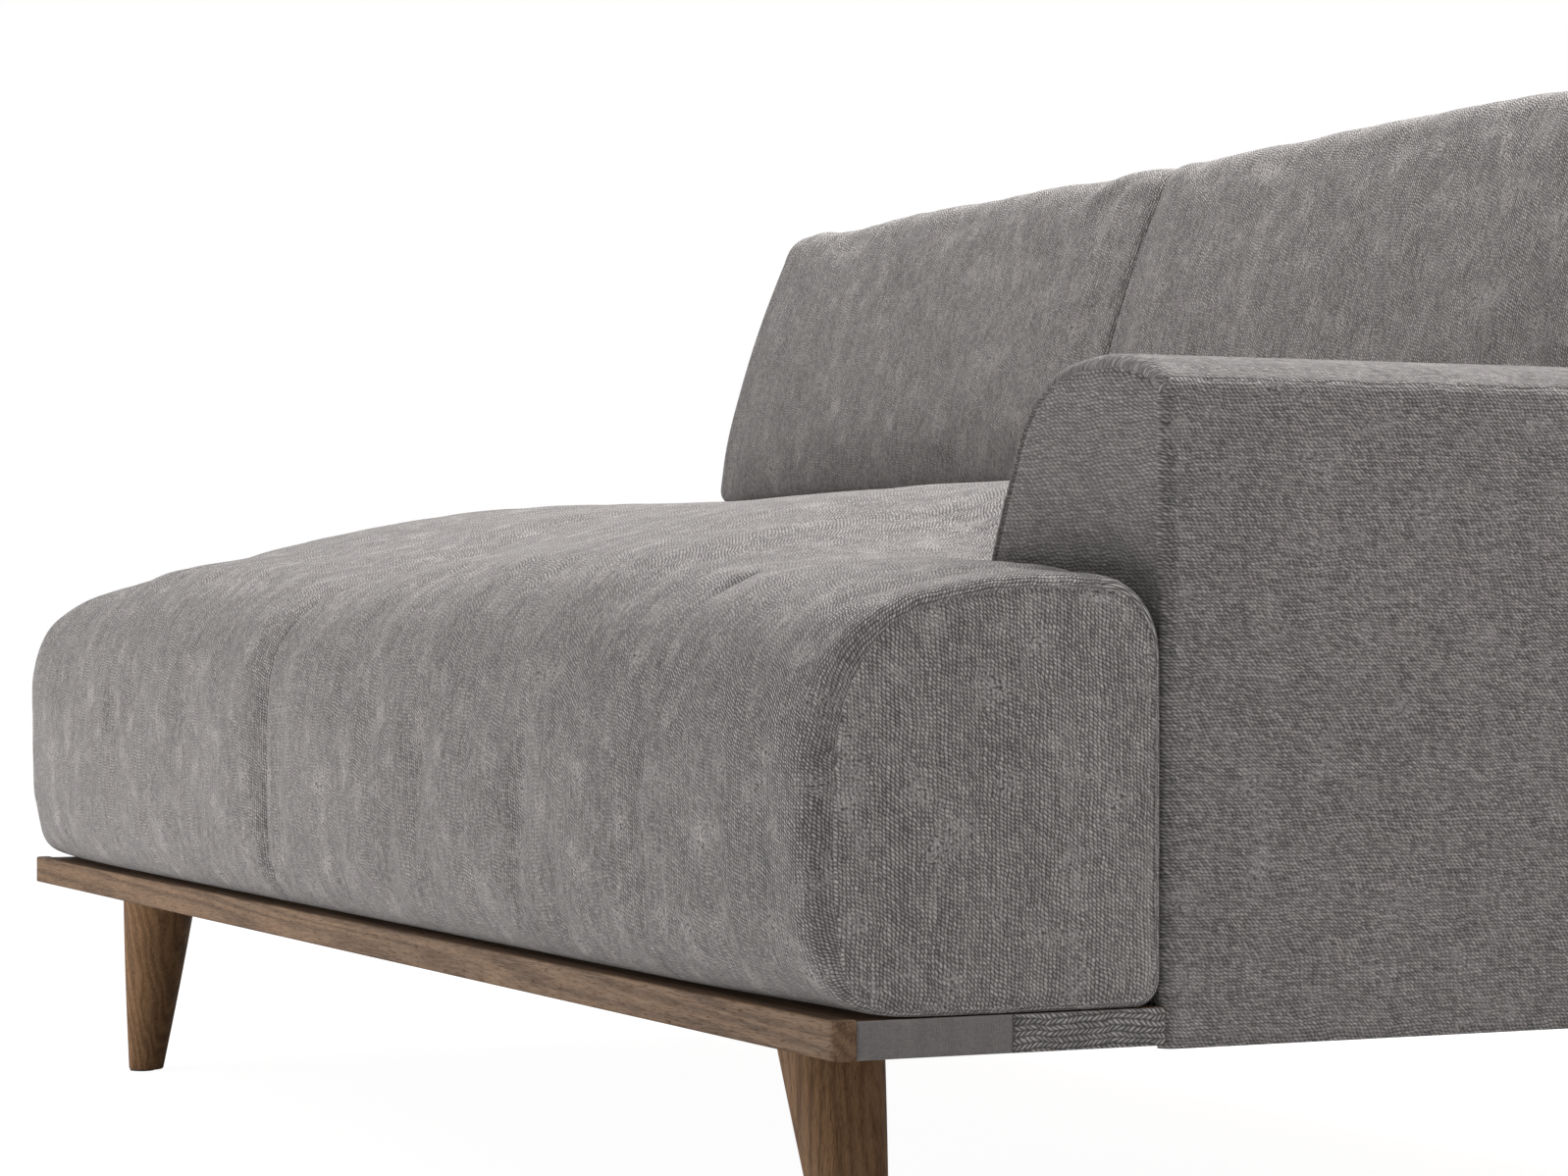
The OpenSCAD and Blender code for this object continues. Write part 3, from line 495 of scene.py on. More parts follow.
@dataclass(frozen=True)
class Weave:
    """Finish of a woven cloth: rows of stitches mixed with the nubs of a crepe.

    size is a stitch's width and height. crepe is the nubs' share of the height. upright turns the
    rows of stitches into columns. hollow_shade darkens the colour in the weave's hollows and lightens
    it on the nub tops: painted shade and painted light. mottle_sheen_and_shade scales broad patches
    and long streaks that mix random tone with painted sheen of the brushed pile and painted shade of
    soft folds, and streak_and_fold_shade scales fine streaks of random nap tone mixed with painted
    shade of soft folds.
    """

    colour: Colour
    size: tuple[float, float]
    stitch: Stitch = Stitch.TWILL
    crepe: float = 0.5
    relief: float = 0.0009
    hollow_shade: float = 0.9
    melange: float = 0.22
    mottle_sheen_and_shade: float = 0.25
    streak_and_fold_shade: float = 0.3
    upright: bool = False

    def material(self, name: str) -> bpy.types.Material:
        """Makes the cloth's material.

        A stitch's height is the product of two half cosines over its cell, slanted within the row
        and scaled by chance; a nub's is 1 - (d / d0)^2 with d the distance from the nearest point of
        a scattered grid. Slow drift bends the rows, and slubs and fibres vary the height. The tone
        follows the height as painted shade in the hollows and painted light on the nubs, and broad
        clouds add random tone mixed with painted sheen of the pile and painted shade of soft folds.

        Args:
            name: The material's name.

        Returns:
            The material.
        """
        g = Graph(name)
        uv = g.node("UVMap", uv_map=UV_NAME).outputs[0]
        width, high = self.size
        fine = g.node("TexNoise")
        g.feed(fine.inputs["Vector"], uv)
        fine.inputs["Scale"].default_value = 0.30 / high
        slow = g.node("TexNoise")
        g.feed(slow.inputs["Vector"], uv)
        slow.inputs["Scale"].default_value = 26.0
        place = uv
        for drift, amount in ((fine, 1.1 * high), (slow, 2.5 * high)):
            centred = g.node("VectorMath", drift.outputs["Color"], (0.5, 0.5, 0.5), operation="SUBTRACT").outputs[0]
            place = g.node("VectorMath", place, g.stretch(centred, (amount,) * 3), operation="ADD").outputs[0]
        if self.upright:
            x, y = g.node("SeparateXYZ", place).outputs[:2]
            place = g.node("CombineXYZ", y, x).outputs[0]
        scaled = g.stretch(place, (1 / width, 1 / high, 1.0))
        u, v = g.node("SeparateXYZ", scaled).outputs[:2]
        row, across = g.math("FLOOR", v), g.about(g.math("FRACT", v), 1.0)
        slant, turns = self.stitch.value
        lean = g.math("MULTIPLY", across, slant)
        if turns:
            parity = g.math("MODULO", g.math("ABSOLUTE", row), 2.0)
            lean = g.math("MULTIPLY", lean, g.math("MULTIPLY_ADD", parity, -2.0, 1.0))
        row_seed = g.node("CombineXYZ", row, 7.0).outputs[0]
        start = g.node("TexWhiteNoise", row_seed, noise_dimensions="2D").outputs["Value"]
        along = g.total(u, lean, g.math("MULTIPLY", start, 0.0 if turns else 1.0))
        cell = g.node("CombineXYZ", g.math("FLOOR", along), row).outputs[0]
        chance = g.node("TexWhiteNoise", cell, noise_dimensions="2D").outputs["Value"]
        bump_u = g.math("POWER", g.math("COSINE", g.about(g.math("FRACT", along), math.pi)), 0.7)
        bump_v = g.math("POWER", g.math("COSINE", g.math("MULTIPLY", across, math.pi)), 0.6)
        stitch = g.math("MULTIPLY", g.math("MULTIPLY", bump_u, bump_v), g.math("MULTIPLY_ADD", chance, 0.5, 0.7))
        points = g.node("TexVoronoi", voronoi_dimensions="2D", feature="F1")
        g.feed(points.inputs["Vector"], g.stretch(place, (1.35 / width, 1.35 / high, 1.0)))
        points.inputs["Scale"].default_value = 1.0
        points.inputs["Randomness"].default_value = 0.95
        far = g.math("MULTIPLY", points.outputs["Distance"], 1.35)
        nub = g.math("SUBTRACT", 1.0, g.math("MULTIPLY", far, far))
        nub_chance = g.node("SeparateColor", points.outputs["Color"]).outputs[0]
        patchy = g.node("Clamp", g.about(g.noise(uv, 0.09 / high, 1.0), 3.0, 0.5 - self.crepe / 3 + 1 / 6)).outputs[0]
        nubby = g.math("MULTIPLY_ADD", patchy, 1.0 - abs(2 * self.crepe - 1), max(2 * self.crepe - 1, 0.0))
        height = g.total(
            g.math("MULTIPLY", stitch, g.math("SUBTRACT", 1.0, nubby)), g.math("MULTIPLY", nub, nubby)
        )
        slub = g.noise(g.stretch(scaled, (0.10, 1.0, 1.0)), 1.0, 1.0)
        fibre = g.noise(scaled, 2.2, 3.0)
        height = g.total(height, g.about(fibre, 0.55), g.about(slub, 0.5))
        # Broad clouds and streaks of tone: random tone of the cloth mixed with painted sheen of brushed pile and
        # painted shade of soft folds.
        random_tone_sheen_and_shade = g.total(
            g.about(g.noise(uv, 9.0, 3.0), self.mottle_sheen_and_shade),
            g.about(g.noise(g.stretch(uv, (55.0, 7.0, 1.0)), 1.0, 2.0), self.mottle_sheen_and_shade),
            g.about(g.noise(g.stretch(uv, (260.0, 14.0, 1.0)), 1.0, 2.0), self.streak_and_fold_shade),
        )
        # Tone follows the stitch height: painted shade in the weave's hollows and painted light on the nub tops.
        tone = g.total(
            1.0, g.about(height, self.hollow_shade, 0.60), g.about(chance, self.melange),
            g.about(nub_chance, self.melange), random_tone_sheen_and_shade,
        )
        colour = g.tint(self.colour, g.math("MINIMUM", g.math("MAXIMUM", tone, 0.25), 1.9))
        return g.finish(
            colour, 0.92, height, self.relief, Sheen_Weight=0.25, Sheen_Roughness=0.5,
            Sheen_Tint=(0.8, 0.78, 0.76, 1.0), Specular_IOR_Level=0.2,
        )


class Grain(Enum):
    """Direction of a wood's grain, as the stretch of its texture space."""

    ACROSS = (0.045, 1.0, 1.0)
    DEPTH = (1.0, 0.045, 1.0)
    UPRIGHT = (1.0, 1.0, 0.045)


@dataclass(frozen=True)
class Wood:
    """Finish of a piece of wood."""

    light: Colour
    dark: Colour
    grain: Grain
    roughness: float = 0.55

    def material(self, name: str) -> bpy.types.Material:
        """Makes the wood's material.

        Growth rings are a sine of the distance from a line far off the piece, bent by noise that is
        stretched along the grain; fibres and pores are finer stretched noise.

        Args:
            name: The material's name.

        Returns:
            The material.
        """
        g = Graph(name)
        place = g.node("TexCoord").outputs["Object"]
        along = g.stretch(place, self.grain.value)
        bend = g.noise(along, 42.0, 3.0)
        blot = g.noise(place, 11.0, 2.0)
        x, y, z = g.node("SeparateXYZ", along).outputs
        radius = g.total(g.math("MULTIPLY", x, 210.0), g.math("MULTIPLY", y, 260.0), g.math("MULTIPLY", z, 230.0))
        rings = g.math("SINE", g.total(g.math("MULTIPLY", radius, 2.2), g.math("MULTIPLY", bend, 26.0)))
        fibres = g.noise(along, 900.0, 3.0)
        pores = g.noise(g.stretch(along, (1.0, 1.0, 1.0)), 1900.0, 1.0)
        pore = g.math("MULTIPLY", g.math("LESS_THAN", pores, 0.36), 0.5)
        factor = g.total(0.5, g.math("MULTIPLY", rings, 0.26), g.about(fibres, 1.5), g.about(blot, 0.9))
        clamped = g.node("Clamp", factor).outputs[0]
        colour = g.mix(clamped, self.light, self.dark)
        colour = g.mix(pore, colour, tuple(0.5 * c for c in self.dark))
        rough = g.total(self.roughness, g.about(fibres, 0.3), g.math("MULTIPLY", pore, 0.4))
        height = g.math("SUBTRACT", g.math("MULTIPLY", fibres, 0.4), pore)
        return g.finish(colour, rough, height, 0.0002, Specular_IOR_Level=0.2)


def plywood(name: str) -> bpy.types.Material:
    """Plywood: veneers of two tones stacked along Z, with fine grain.

    Args:
        name: The material's name.

    Returns:
        The material.
    """
    g = Graph(name)
    place = g.node("TexCoord").outputs["Object"]
    z = g.node("SeparateXYZ", place).outputs[2]
    layer = g.math("GREATER_THAN", g.math("FRACT", g.math("MULTIPLY", z, 1 / 0.0044)), 0.5)
    figure = g.noise(g.stretch(place, (3.0, 60.0, 400.0)), 1.0, 4.0)
    colour = g.mix(layer, (0.46, 0.31, 0.18), (0.30, 0.19, 0.10))
    colour = g.mix(g.math("MULTIPLY", figure, 0.5), colour, (0.56, 0.41, 0.26))
    return g.finish(colour, 0.75, figure, 0.0002)


def metal(name: str) -> bpy.types.Material:
    """Zinc-plated steel with cloudy roughness.

    Args:
        name: The material's name.

    Returns:
        The material.
    """
    g = Graph(name)
    place = g.node("TexCoord").outputs["Object"]
    cloud = g.noise(place, 160.0, 3.0)
    colour = g.mix(cloud, (0.42, 0.43, 0.45), (0.62, 0.62, 0.60))
    return g.finish(colour, g.total(0.3, g.about(cloud, 0.3)), cloud, 0.00005, Metallic=1.0)


def plastic(name: str) -> bpy.types.Material:
    """Black plastic with a fine moulded texture and scuffs.

    Args:
        name: The material's name.

    Returns:
        The material.
    """
    g = Graph(name)
    place = g.node("TexCoord").outputs["Object"]
    fine, scuff = g.noise(place, 1500.0, 2.0), g.noise(place, 60.0, 3.0)
    colour = g.mix(scuff, (0.012, 0.012, 0.013), (0.035, 0.034, 0.033))
    return g.finish(colour, g.total(0.45, g.about(scuff, 0.3)), fine, 0.00008)


def made(finish: Weave | Wood, name: str) -> bpy.types.Material:
    """Returns a dataclass field whose default is a finish's material, made with the dataclass."""
    return field(default_factory=lambda: finish.material(name))


BEECH = ((0.60, 0.41, 0.25), (0.42, 0.26, 0.14))


@dataclass
class Finishes:
    """All the scene's materials."""

    cushion: bpy.types.Material = made(
        Weave(
            (0.322, 0.300, 0.294), (0.0025, 0.0025), crepe=0.45, relief=0.0017, hollow_shade=1.45,
            mottle_sheen_and_shade=0.42, streak_and_fold_shade=0.2, upright=True,
        ),
        "cushion_cloth",
    )
    cover: bpy.types.Material = made(
        Weave((0.268, 0.251, 0.246), (0.0029, 0.0021), crepe=0.4, relief=0.0014, hollow_shade=1.3, melange=0.3),
        "cover_cloth",
    )
    striped: bpy.types.Material = made(
        Weave(
            (0.268, 0.251, 0.246), (0.0056, 0.0023), Stitch.TWILL, crepe=0.15, relief=0.0012, hollow_shade=1.0,
            streak_and_fold_shade=0.1,
        ),
        "arm_front_cloth",
    )
    band: bpy.types.Material = made(
        Weave(
            (0.165, 0.154, 0.150), (0.0018, 0.0013), Stitch.PLAIN, crepe=0.4, relief=0.0002, hollow_shade=0.2,
            melange=0.1,
        ),
        "band_cloth",
    )
    coarse: bpy.types.Material = made(
        Weave((0.300, 0.280, 0.275), (0.0034, 0.0036), Stitch.KNIT, crepe=0.0, relief=0.0030, hollow_shade=1.5),
        "coarse_cloth",
    )
    lining: bpy.types.Material = made(
        Weave((0.022, 0.022, 0.023), (0.0015, 0.0015), Stitch.PLAIN, relief=0.0003), "lining_cloth"
    )
    webbing: bpy.types.Material = made(
        Weave((0.045, 0.040, 0.036), (0.0030, 0.0026), Stitch.KNIT, crepe=0.0, relief=0.0006), "webbing"
    )
    walnut: bpy.types.Material = made(
        Wood((0.200, 0.122, 0.070), (0.072, 0.040, 0.021), Grain.ACROSS, 0.65), "oiled_rail"
    )
    walnut_leg: bpy.types.Material = made(
        Wood((0.235, 0.130, 0.063), (0.095, 0.048, 0.021), Grain.UPRIGHT, 0.65), "oiled_leg"
    )
    beech_x: bpy.types.Material = made(Wood(*BEECH, Grain.ACROSS, 0.7), "beech_across")
    beech_y: bpy.types.Material = made(Wood(*BEECH, Grain.DEPTH, 0.7), "beech_depth")
    beech_z: bpy.types.Material = made(Wood(*BEECH, Grain.UPRIGHT, 0.7), "beech_upright")
    ply: bpy.types.Material = field(default_factory=lambda: plywood("plywood"))
    steel: bpy.types.Material = field(default_factory=lambda: metal("zinc_steel"))
    plastic: bpy.types.Material = field(default_factory=lambda: plastic("black_plastic"))


def dress(
    obj: bpy.types.Object, material: bpy.types.Material, body: str, replaces: Sequence[str] = ()
) -> bpy.types.Object:
    """Gives a new piece its material, slot, body and the CAD nodes that it stands for.

    Args:
        obj: The piece.
        material: Its material.
        body: The CAD body that it rides on.
        replaces: CAD nodes that it stands for.

    Returns:
        The piece.
    """
    obj.data.materials.clear()
    obj.data.materials.append(material)
    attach(obj, body)
    if replaces:
        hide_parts(*replaces)
    return obj


def subdivide(obj: bpy.types.Object, levels: int = 1) -> None:
    """Adds a subdivision modifier with equal view and render levels.

    Args:
        obj: The piece.
        levels: Its levels.
    """
    made = obj.modifiers.new("subdivision", "SUBSURF")
    made.levels = made.render_levels = levels
    made.uv_smooth = "PRESERVE_BOUNDARIES"


# ---------------------------------------------------------------- ring forms with rounded ends
@dataclass
class EndStyle:
    """How a wrapped cushion's end is finished.

    radii gives the rounding at each ring point, groove the depth of the seam round the end
    panel and crown how far the panel stands out in its middle.
    """

    radii: Array
    groove: Array | float = 0.0022
    crown: float = 0.003


ROLL_RUN = np.array([0.0, 0.0004, 0.0012, 0.0025, 0.0045, 0.007, 0.010])
END_RUN = np.array([0.0, 0.001, 0.0025, 0.005, 0.0085, 0.013, 0.019, 0.026, 0.034, 0.043, 0.053])


def rounding(d: float, radii: Array) -> Array:
    """Inset of a quarter-round edge: r - sqrt(r^2 - (r - d)^2) for d below r, else 0.

    Args:
        d: Distance from the end.
        radii: Radius at each ring point.

    Returns:
        The inset at each ring point.
    """
    inside = np.maximum(radii - d, 0.0)
    return radii - np.sqrt(np.maximum(radii**2 - inside**2, 0.0))


def end_cap(ring: Array, normals: Array, x: float, sign: float, style: EndStyle, start: int) -> list[Patch]:
    """End panel of a wrapped form: a seam groove, a flat margin and a crowned field.

    Args:
        ring: Outline at the end plane, n by 2, in (y, z).
        normals: Its outward normals.
        x: The end plane.
        sign: -1 for a left end and 1 for a right end.
        style: The end's style.
        start: Ring point at which the field's first corner lies.

    Returns:
        Patches of the panel.
    """
    steps = [(0.0, 0.0), (0.0011, 0.75), (0.0018, 1.0), (0.0026, 0.75), (0.0038, 0.1), (0.0065, -0.25), (0.013, -0.35)]
    groove = np.broadcast_to(style.groove, len(ring))
    margin = 0.0022 if style.crown else 0.0
    rows = [
        np.column_stack([x - sign * deep * np.where(deep > 0, groove, margin), ring - normals * inset])
        for inset, deep in steps
    ]
    rows = np.array(rows)
    closed = np.concatenate([rows, rows[:, :1]], 1)
    band = Patch(closed, closed[..., 1:])
    last = np.roll(rows[-1], -start, 0)
    grid = fill_ring(last)
    n = grid.shape[0]
    u = np.linspace(0, 1, n)
    hump = np.outer(np.sin(np.pi * u) ** 0.8, np.sin(np.pi * u) ** 0.8)
    grid[..., 0] += sign * style.crown * hump
    return [band, Patch(grid, grid[..., 1:].copy())]


# ---------------------------------------------------------------- stuffing
@dataclass(frozen=True)
class Puff:
    """Cloth simulation that gives a stuffed cover its pull folds.

    The cover starts a little smaller than its form and is blown up against its pins. Its
    displacement is capped, its broad part is taken off again, so that the form stays as drawn, and
    the folds that are left are added to it.
    """

    pressure: float = 4.0
    shrink: float = -0.022
    last_frame: int = 16
    cap: float = 0.010
    start: float = 0.004
    gain: float = 0.7
    rounds: int = 260

    def points(self, mesh: bpy.types.Mesh, what: str = "co") -> Array:
        """Reads a mesh's vertex coordinates or normals as an n by 3 array."""
        flat = np.zeros(len(mesh.vertices) * 3, np.float32)
        mesh.vertices.foreach_get(what, flat)
        return flat.reshape(-1, 3).astype(float)

    def broad(self, mesh: bpy.types.Mesh, rest: Array, moved: Array) -> Array:
        """Broad part of a displacement: repeated averaging with the neighbours, mostly along X.

        Args:
            mesh: The cover's mesh.
            rest: Its vertices before they moved.
            moved: Their displacement.

        Returns:
            The averaged displacement.
        """
        edges = np.zeros(len(mesh.edges) * 2, np.int32)
        mesh.edges.foreach_get("vertices", edges)
        a, b = edges.reshape(-1, 2).T
        step = rest[b] - rest[a]
        weight = 0.08 + 0.92 * step[:, 0] ** 2 / np.maximum((step**2).sum(1), 1e-12)
        whole = np.bincount(a, weight, len(rest)) + np.bincount(b, weight, len(rest))
        for _ in range(self.rounds):
            sums = [
                np.bincount(a, weight * moved[b, k], len(rest)) + np.bincount(b, weight * moved[a, k], len(rest))
                for k in range(3)
            ]
            moved = 0.5 * moved + 0.5 * np.stack(sums, 1) / whole[:, None]
        return moved

    def run(self, obj: bpy.types.Object, loose: Array, seed: int) -> None:
        """Unsettles a cover a little and adds its folds.

        The unevenness is 1.3 mm times a sum of sines over about 17 cm, along the normals.

        Args:
            obj: The cover.
            loose: How free each vertex is, from 0 to 1.
            seed: Seed of the unevenness.
        """
        mesh = obj.data
        rest, normal = self.points(mesh), self.points(mesh, "normal")
        rest = rest + normal * (0.0013 * loose * waves(rest, 0.17, seed))[:, None]
        mesh.vertices.foreach_set("co", rest.ravel().astype(np.float32))
        mesh.update()
        small = rest - normal * (self.start * loose)[:, None]
        mesh.vertices.foreach_set("co", small.ravel().astype(np.float32))
        mesh.update()
        pins = obj.vertex_groups.new(name="pins")
        level = np.round((1 - loose) * 10).astype(int)
        for k in range(1, 11):
            pins.add(np.flatnonzero(level == k).tolist(), (k / 10) ** 3, "REPLACE")
        cloth = obj.modifiers.new("cloth", "CLOTH")
        how = cloth.settings
        how.quality, how.mass = 4, 0.2
        how.tension_stiffness = how.compression_stiffness = 12.0
        how.shear_stiffness, how.bending_stiffness = 6.0, 1.2
        how.use_pressure, how.uniform_pressure_force = True, self.pressure
        how.shrink_min = self.shrink
        how.vertex_group_mass = "pins"
        how.effector_weights.gravity = 0.0
        cloth.point_cache.frame_start, cloth.point_cache.frame_end = 1, self.last_frame
        scene = bpy.context.scene
        for frame_number in range(1, self.last_frame + 1):
            scene.frame_set(frame_number)
        blown = obj.evaluated_get(bpy.context.evaluated_depsgraph_get()).data
        moved = self.points(blown) - small
        obj.modifiers.remove(cloth)
        obj.vertex_groups.remove(pins)
        scene.frame_set(1)
        size = np.linalg.norm(moved, axis=1, keepdims=True)
        moved *= self.cap * np.tanh(size / self.cap) / np.maximum(size, 1e-9)
        folds = moved - self.broad(mesh, small, moved)
        LOG.info("%s: blown up by %.1f mm, folds up to %.1f mm", obj.name, 1e3 * size.max(), 1e3 * np.abs(folds).max())
        final = rest + folds * (self.gain * loose)[:, None]
        mesh.vertices.foreach_set("co", final.ravel().astype(np.float32))
        mesh.update()


PUFF = Puff()


# ---------------------------------------------------------------- seat cushions
TOP_AT = np.array([70, 100, 123, 150, 176, 203, 230, 270, 320, 400, 500, 600, 660, 704.7]) / 1000
SEAM_TOP = np.array([441, 448, 454, 462, 471, 480, 486, 494, 500, 505.5, 508.5, 512, 517, 522.5]) / 1000
EAR_TOP = np.array([443, 448, 450, 450, 449, 447.5, 446.5, 449, 450, 450, 450, 450, 450, 450]) / 1000
LEFT_TOP = np.array([461, 466, 470.5, 476.5, 482.5, 489.5, 496, 503, 509, 512.5, 513, 515.5, 519.8, 524.5]) / 1000
RIGHT_TOP = np.array([461, 469, 474.5, 481.5, 488, 493, 497, 501.3, 506, 511.5, 513.5, 516, 520, 524.5]) / 1000


@dataclass(frozen=True)
class SeatTop:
    """Height of a seat cushion's top over its plan, read off the photograph's outlines.

    z = m - |u|^1.4 (m - s) - e (m - n). The middle's table m falls towards the seam's table s, u
    being the share of the way from the middle to that end. e blends in the ear's table n beside
    and in front of the arm. All tables run back from the rail's front.
    """

    x0: float
    x1: float
    middle: Array
    arm_x: float | None = None

    def share(self, x: float) -> float:
        """Share of the way from the cushion's middle to an end, negative on the left."""
        return 2 * (x - self.x0) / (self.x1 - self.x0) - 1

    def at(self, x: float, y: Array) -> Array:
        """Heights on the line across the cushion at x.

        Args:
            x: Place along the sofa.
            y: Places across it.

        Returns:
            The heights.
        """
        back = np.asarray(y, float) - SIZE.rail_y
        middle, end = table_curve(back, TOP_AT, self.middle), table_curve(back, TOP_AT, SEAM_TOP)
        u = self.share(x)
        if self.arm_x is None:
            if u < 0:
                end = end - 0.012 + 0.008 * smooth(back, 0.40, 0.70)
            return middle - abs(u) ** 1.4 * (middle - end)
        if u < 0:
            middle = middle - abs(u) ** 1.4 * (middle - end)
        ear = table_curve(back, TOP_AT, EAR_TOP)
        ear = ear - 0.011 * max((x - self.arm_x) / (self.x1 - self.arm_x), 0.0) ** 2.2
        return middle - smooth(x, 0.40, self.arm_x) * (1 - smooth(back, 0.24, 0.34)) * (middle - ear)


@dataclass(frozen=True)
class SeatProfile:
    """Closed outline of a seat cushion in (y, z), as segments of fixed point counts."""

    shoulder_y: float = -0.400
    corner_y: float = -0.3146
    counts: tuple[int, ...] = (26, 26, 9, 40, 12, 20, 40, 5, 4, 12)

    def front(self, top: SeatTop, x: float) -> Array:
        """Front of the cushion, below and above the fullest point.

        Both are superellipse quarters. The upper one is sheared, z - g (y_s - y) times the share
        of its height, so that it runs on at the top's slope g.
        """
        a, b = self.counts[:2]
        y_s = self.shoulder_y
        z_s, z_next = top.at(x, np.array([y_s, y_s + 0.01]))
        slope = (z_next - z_s) / 0.01
        near_ear = 0.0 if top.arm_x is None else float(smooth(x, 0.60, 0.84))
        low_power = 5.0 - near_ear - (1.4 * max(-top.share(x), 0.0) ** 3 if top.arm_x is None else 0.0)
        high_power = 2.6 + 0.7 * abs(top.share(x)) ** 1.4 * (1 - near_ear)
        low_radii = (SIZE.under_y - SIZE.seat_y, SIZE.belly_z - SIZE.seat_z)
        low = superellipse((SIZE.under_y, SIZE.belly_z), low_radii, low_power, 270, 180, a)
        high = superellipse((y_s, SIZE.belly_z), (y_s - SIZE.seat_y, z_s - SIZE.belly_z), high_power, 180, 90, 90)
        share = (high[:, 1] - SIZE.belly_z) / (z_s - SIZE.belly_z)
        high[:, 1] -= slope * (y_s - high[:, 0]) * share
        return chain(low, resample(high, b))

    def full(self, top: SeatTop, x: float) -> Array:
        """Whole section: front, crown, the part under the back cushion, leaning rear, rest and step."""
        c = self.counts
        y1 = line([self.shoulder_y], [self.corner_y], c[2] + 1)[:, 0]
        y2 = line([self.corner_y], [SIZE.crest_y], c[3] + 1)[:, 0]
        top1 = np.column_stack([y1, top.at(x, y1)])
        top2 = np.column_stack([y2, top.at(x, y2)])
        z1 = top2[-1, 1]
        t = math.tan(SIZE.lean)
        rear = SIZE.lean_y(z1 - 0.0385) - SIZE.gap - 0.001
        rear_z = z1 - (rear - SIZE.crest_y) * t
        low_y = SIZE.lean_y(SIZE.rest_z) - SIZE.gap - 0.001
        return chain(
            self.front(top, x), top1, top2,
            line((SIZE.crest_y, z1), (rear, rear_z), c[4] + 1),
            line((rear, rear_z), (low_y, SIZE.rest_z), c[5] + 1),
            line((low_y, SIZE.rest_z), (SIZE.step_y, SIZE.rest_z), c[6] + 1),
            line((SIZE.step_y, SIZE.rest_z), (SIZE.step_y, SIZE.seat_z), c[7] + 1),
            line((SIZE.step_y, SIZE.seat_z), (SIZE.ear_y - 0.017, SIZE.seat_z), c[8] + 1),
            line((SIZE.ear_y - 0.017, SIZE.seat_z), (SIZE.under_y, SIZE.seat_z), c[9] + 1),
        )[:-1]

    def ear(self, top: SeatTop, x: float, tight: float) -> Array:
        """Section of the ear in front of the arm, with as many points as the whole section.

        Args:
            top: The cushion's top.
            x: Place along the sofa.
            tight: 1 for a tight rear edge, as beside the arm, and 0 for the round one of the ear's end.

        Returns:
            The ring's points.
        """
        c = self.counts
        y1 = line([self.shoulder_y], [self.corner_y], c[2] + 1)[:, 0]
        top1 = np.column_stack([y1, top.at(x, y1)])
        across, down = 0.042 - 0.034 * tight, 0.050 - 0.041 * tight
        back = SIZE.ear_y - across
        flat_y = np.linspace(self.corner_y, back, 4)
        flat = np.column_stack([flat_y, top.at(x, flat_y)])
        z_top = flat[-1, 1]
        arc = superellipse((back, z_top - down), (across, down), 2.2, 90, 0, 15)
        wall = line((SIZE.ear_y, z_top - down), (SIZE.ear_y, SIZE.seat_z + 0.017), sum(c[3:7]) - 16)
        foot = superellipse((SIZE.ear_y - 0.017, SIZE.seat_z + 0.017), (0.017, 0.017), 2.0, 0, -90, c[7] + c[8] + 1)
        under = line((SIZE.ear_y - 0.017, SIZE.seat_z), (SIZE.under_y, SIZE.seat_z), c[9] + 1)
        return chain(self.front(top, x), top1, flat, arc, wall, foot, under)[:-1]


PROFILE = SeatProfile()


def by_side(ring: Array, front: float, top: float, rear: float, under: float) -> Array:
    """A value at each ring point, blended between the front, top, rear and underside.

    Args:
        ring: Outline in (y, z).
        front: Value on the front.
        top: On the top.
        rear: On the rear.
        under: On the underside.

    Returns:
        The values.
    """
    n = ring_normals(ring)
    weight = np.maximum(np.stack([-n[:, 0], n[:, 1], n[:, 0], -n[:, 1]], 1), 0) ** 2
    weight /= weight.sum(1, keepdims=True)
    radii = weight @ np.array([front, top, rear, under])
    kernel = np.array([1, 2, 3, 2, 1]) / 9
    return np.convolve(np.r_[radii[-2:], radii, radii[:2]], kernel, "valid")


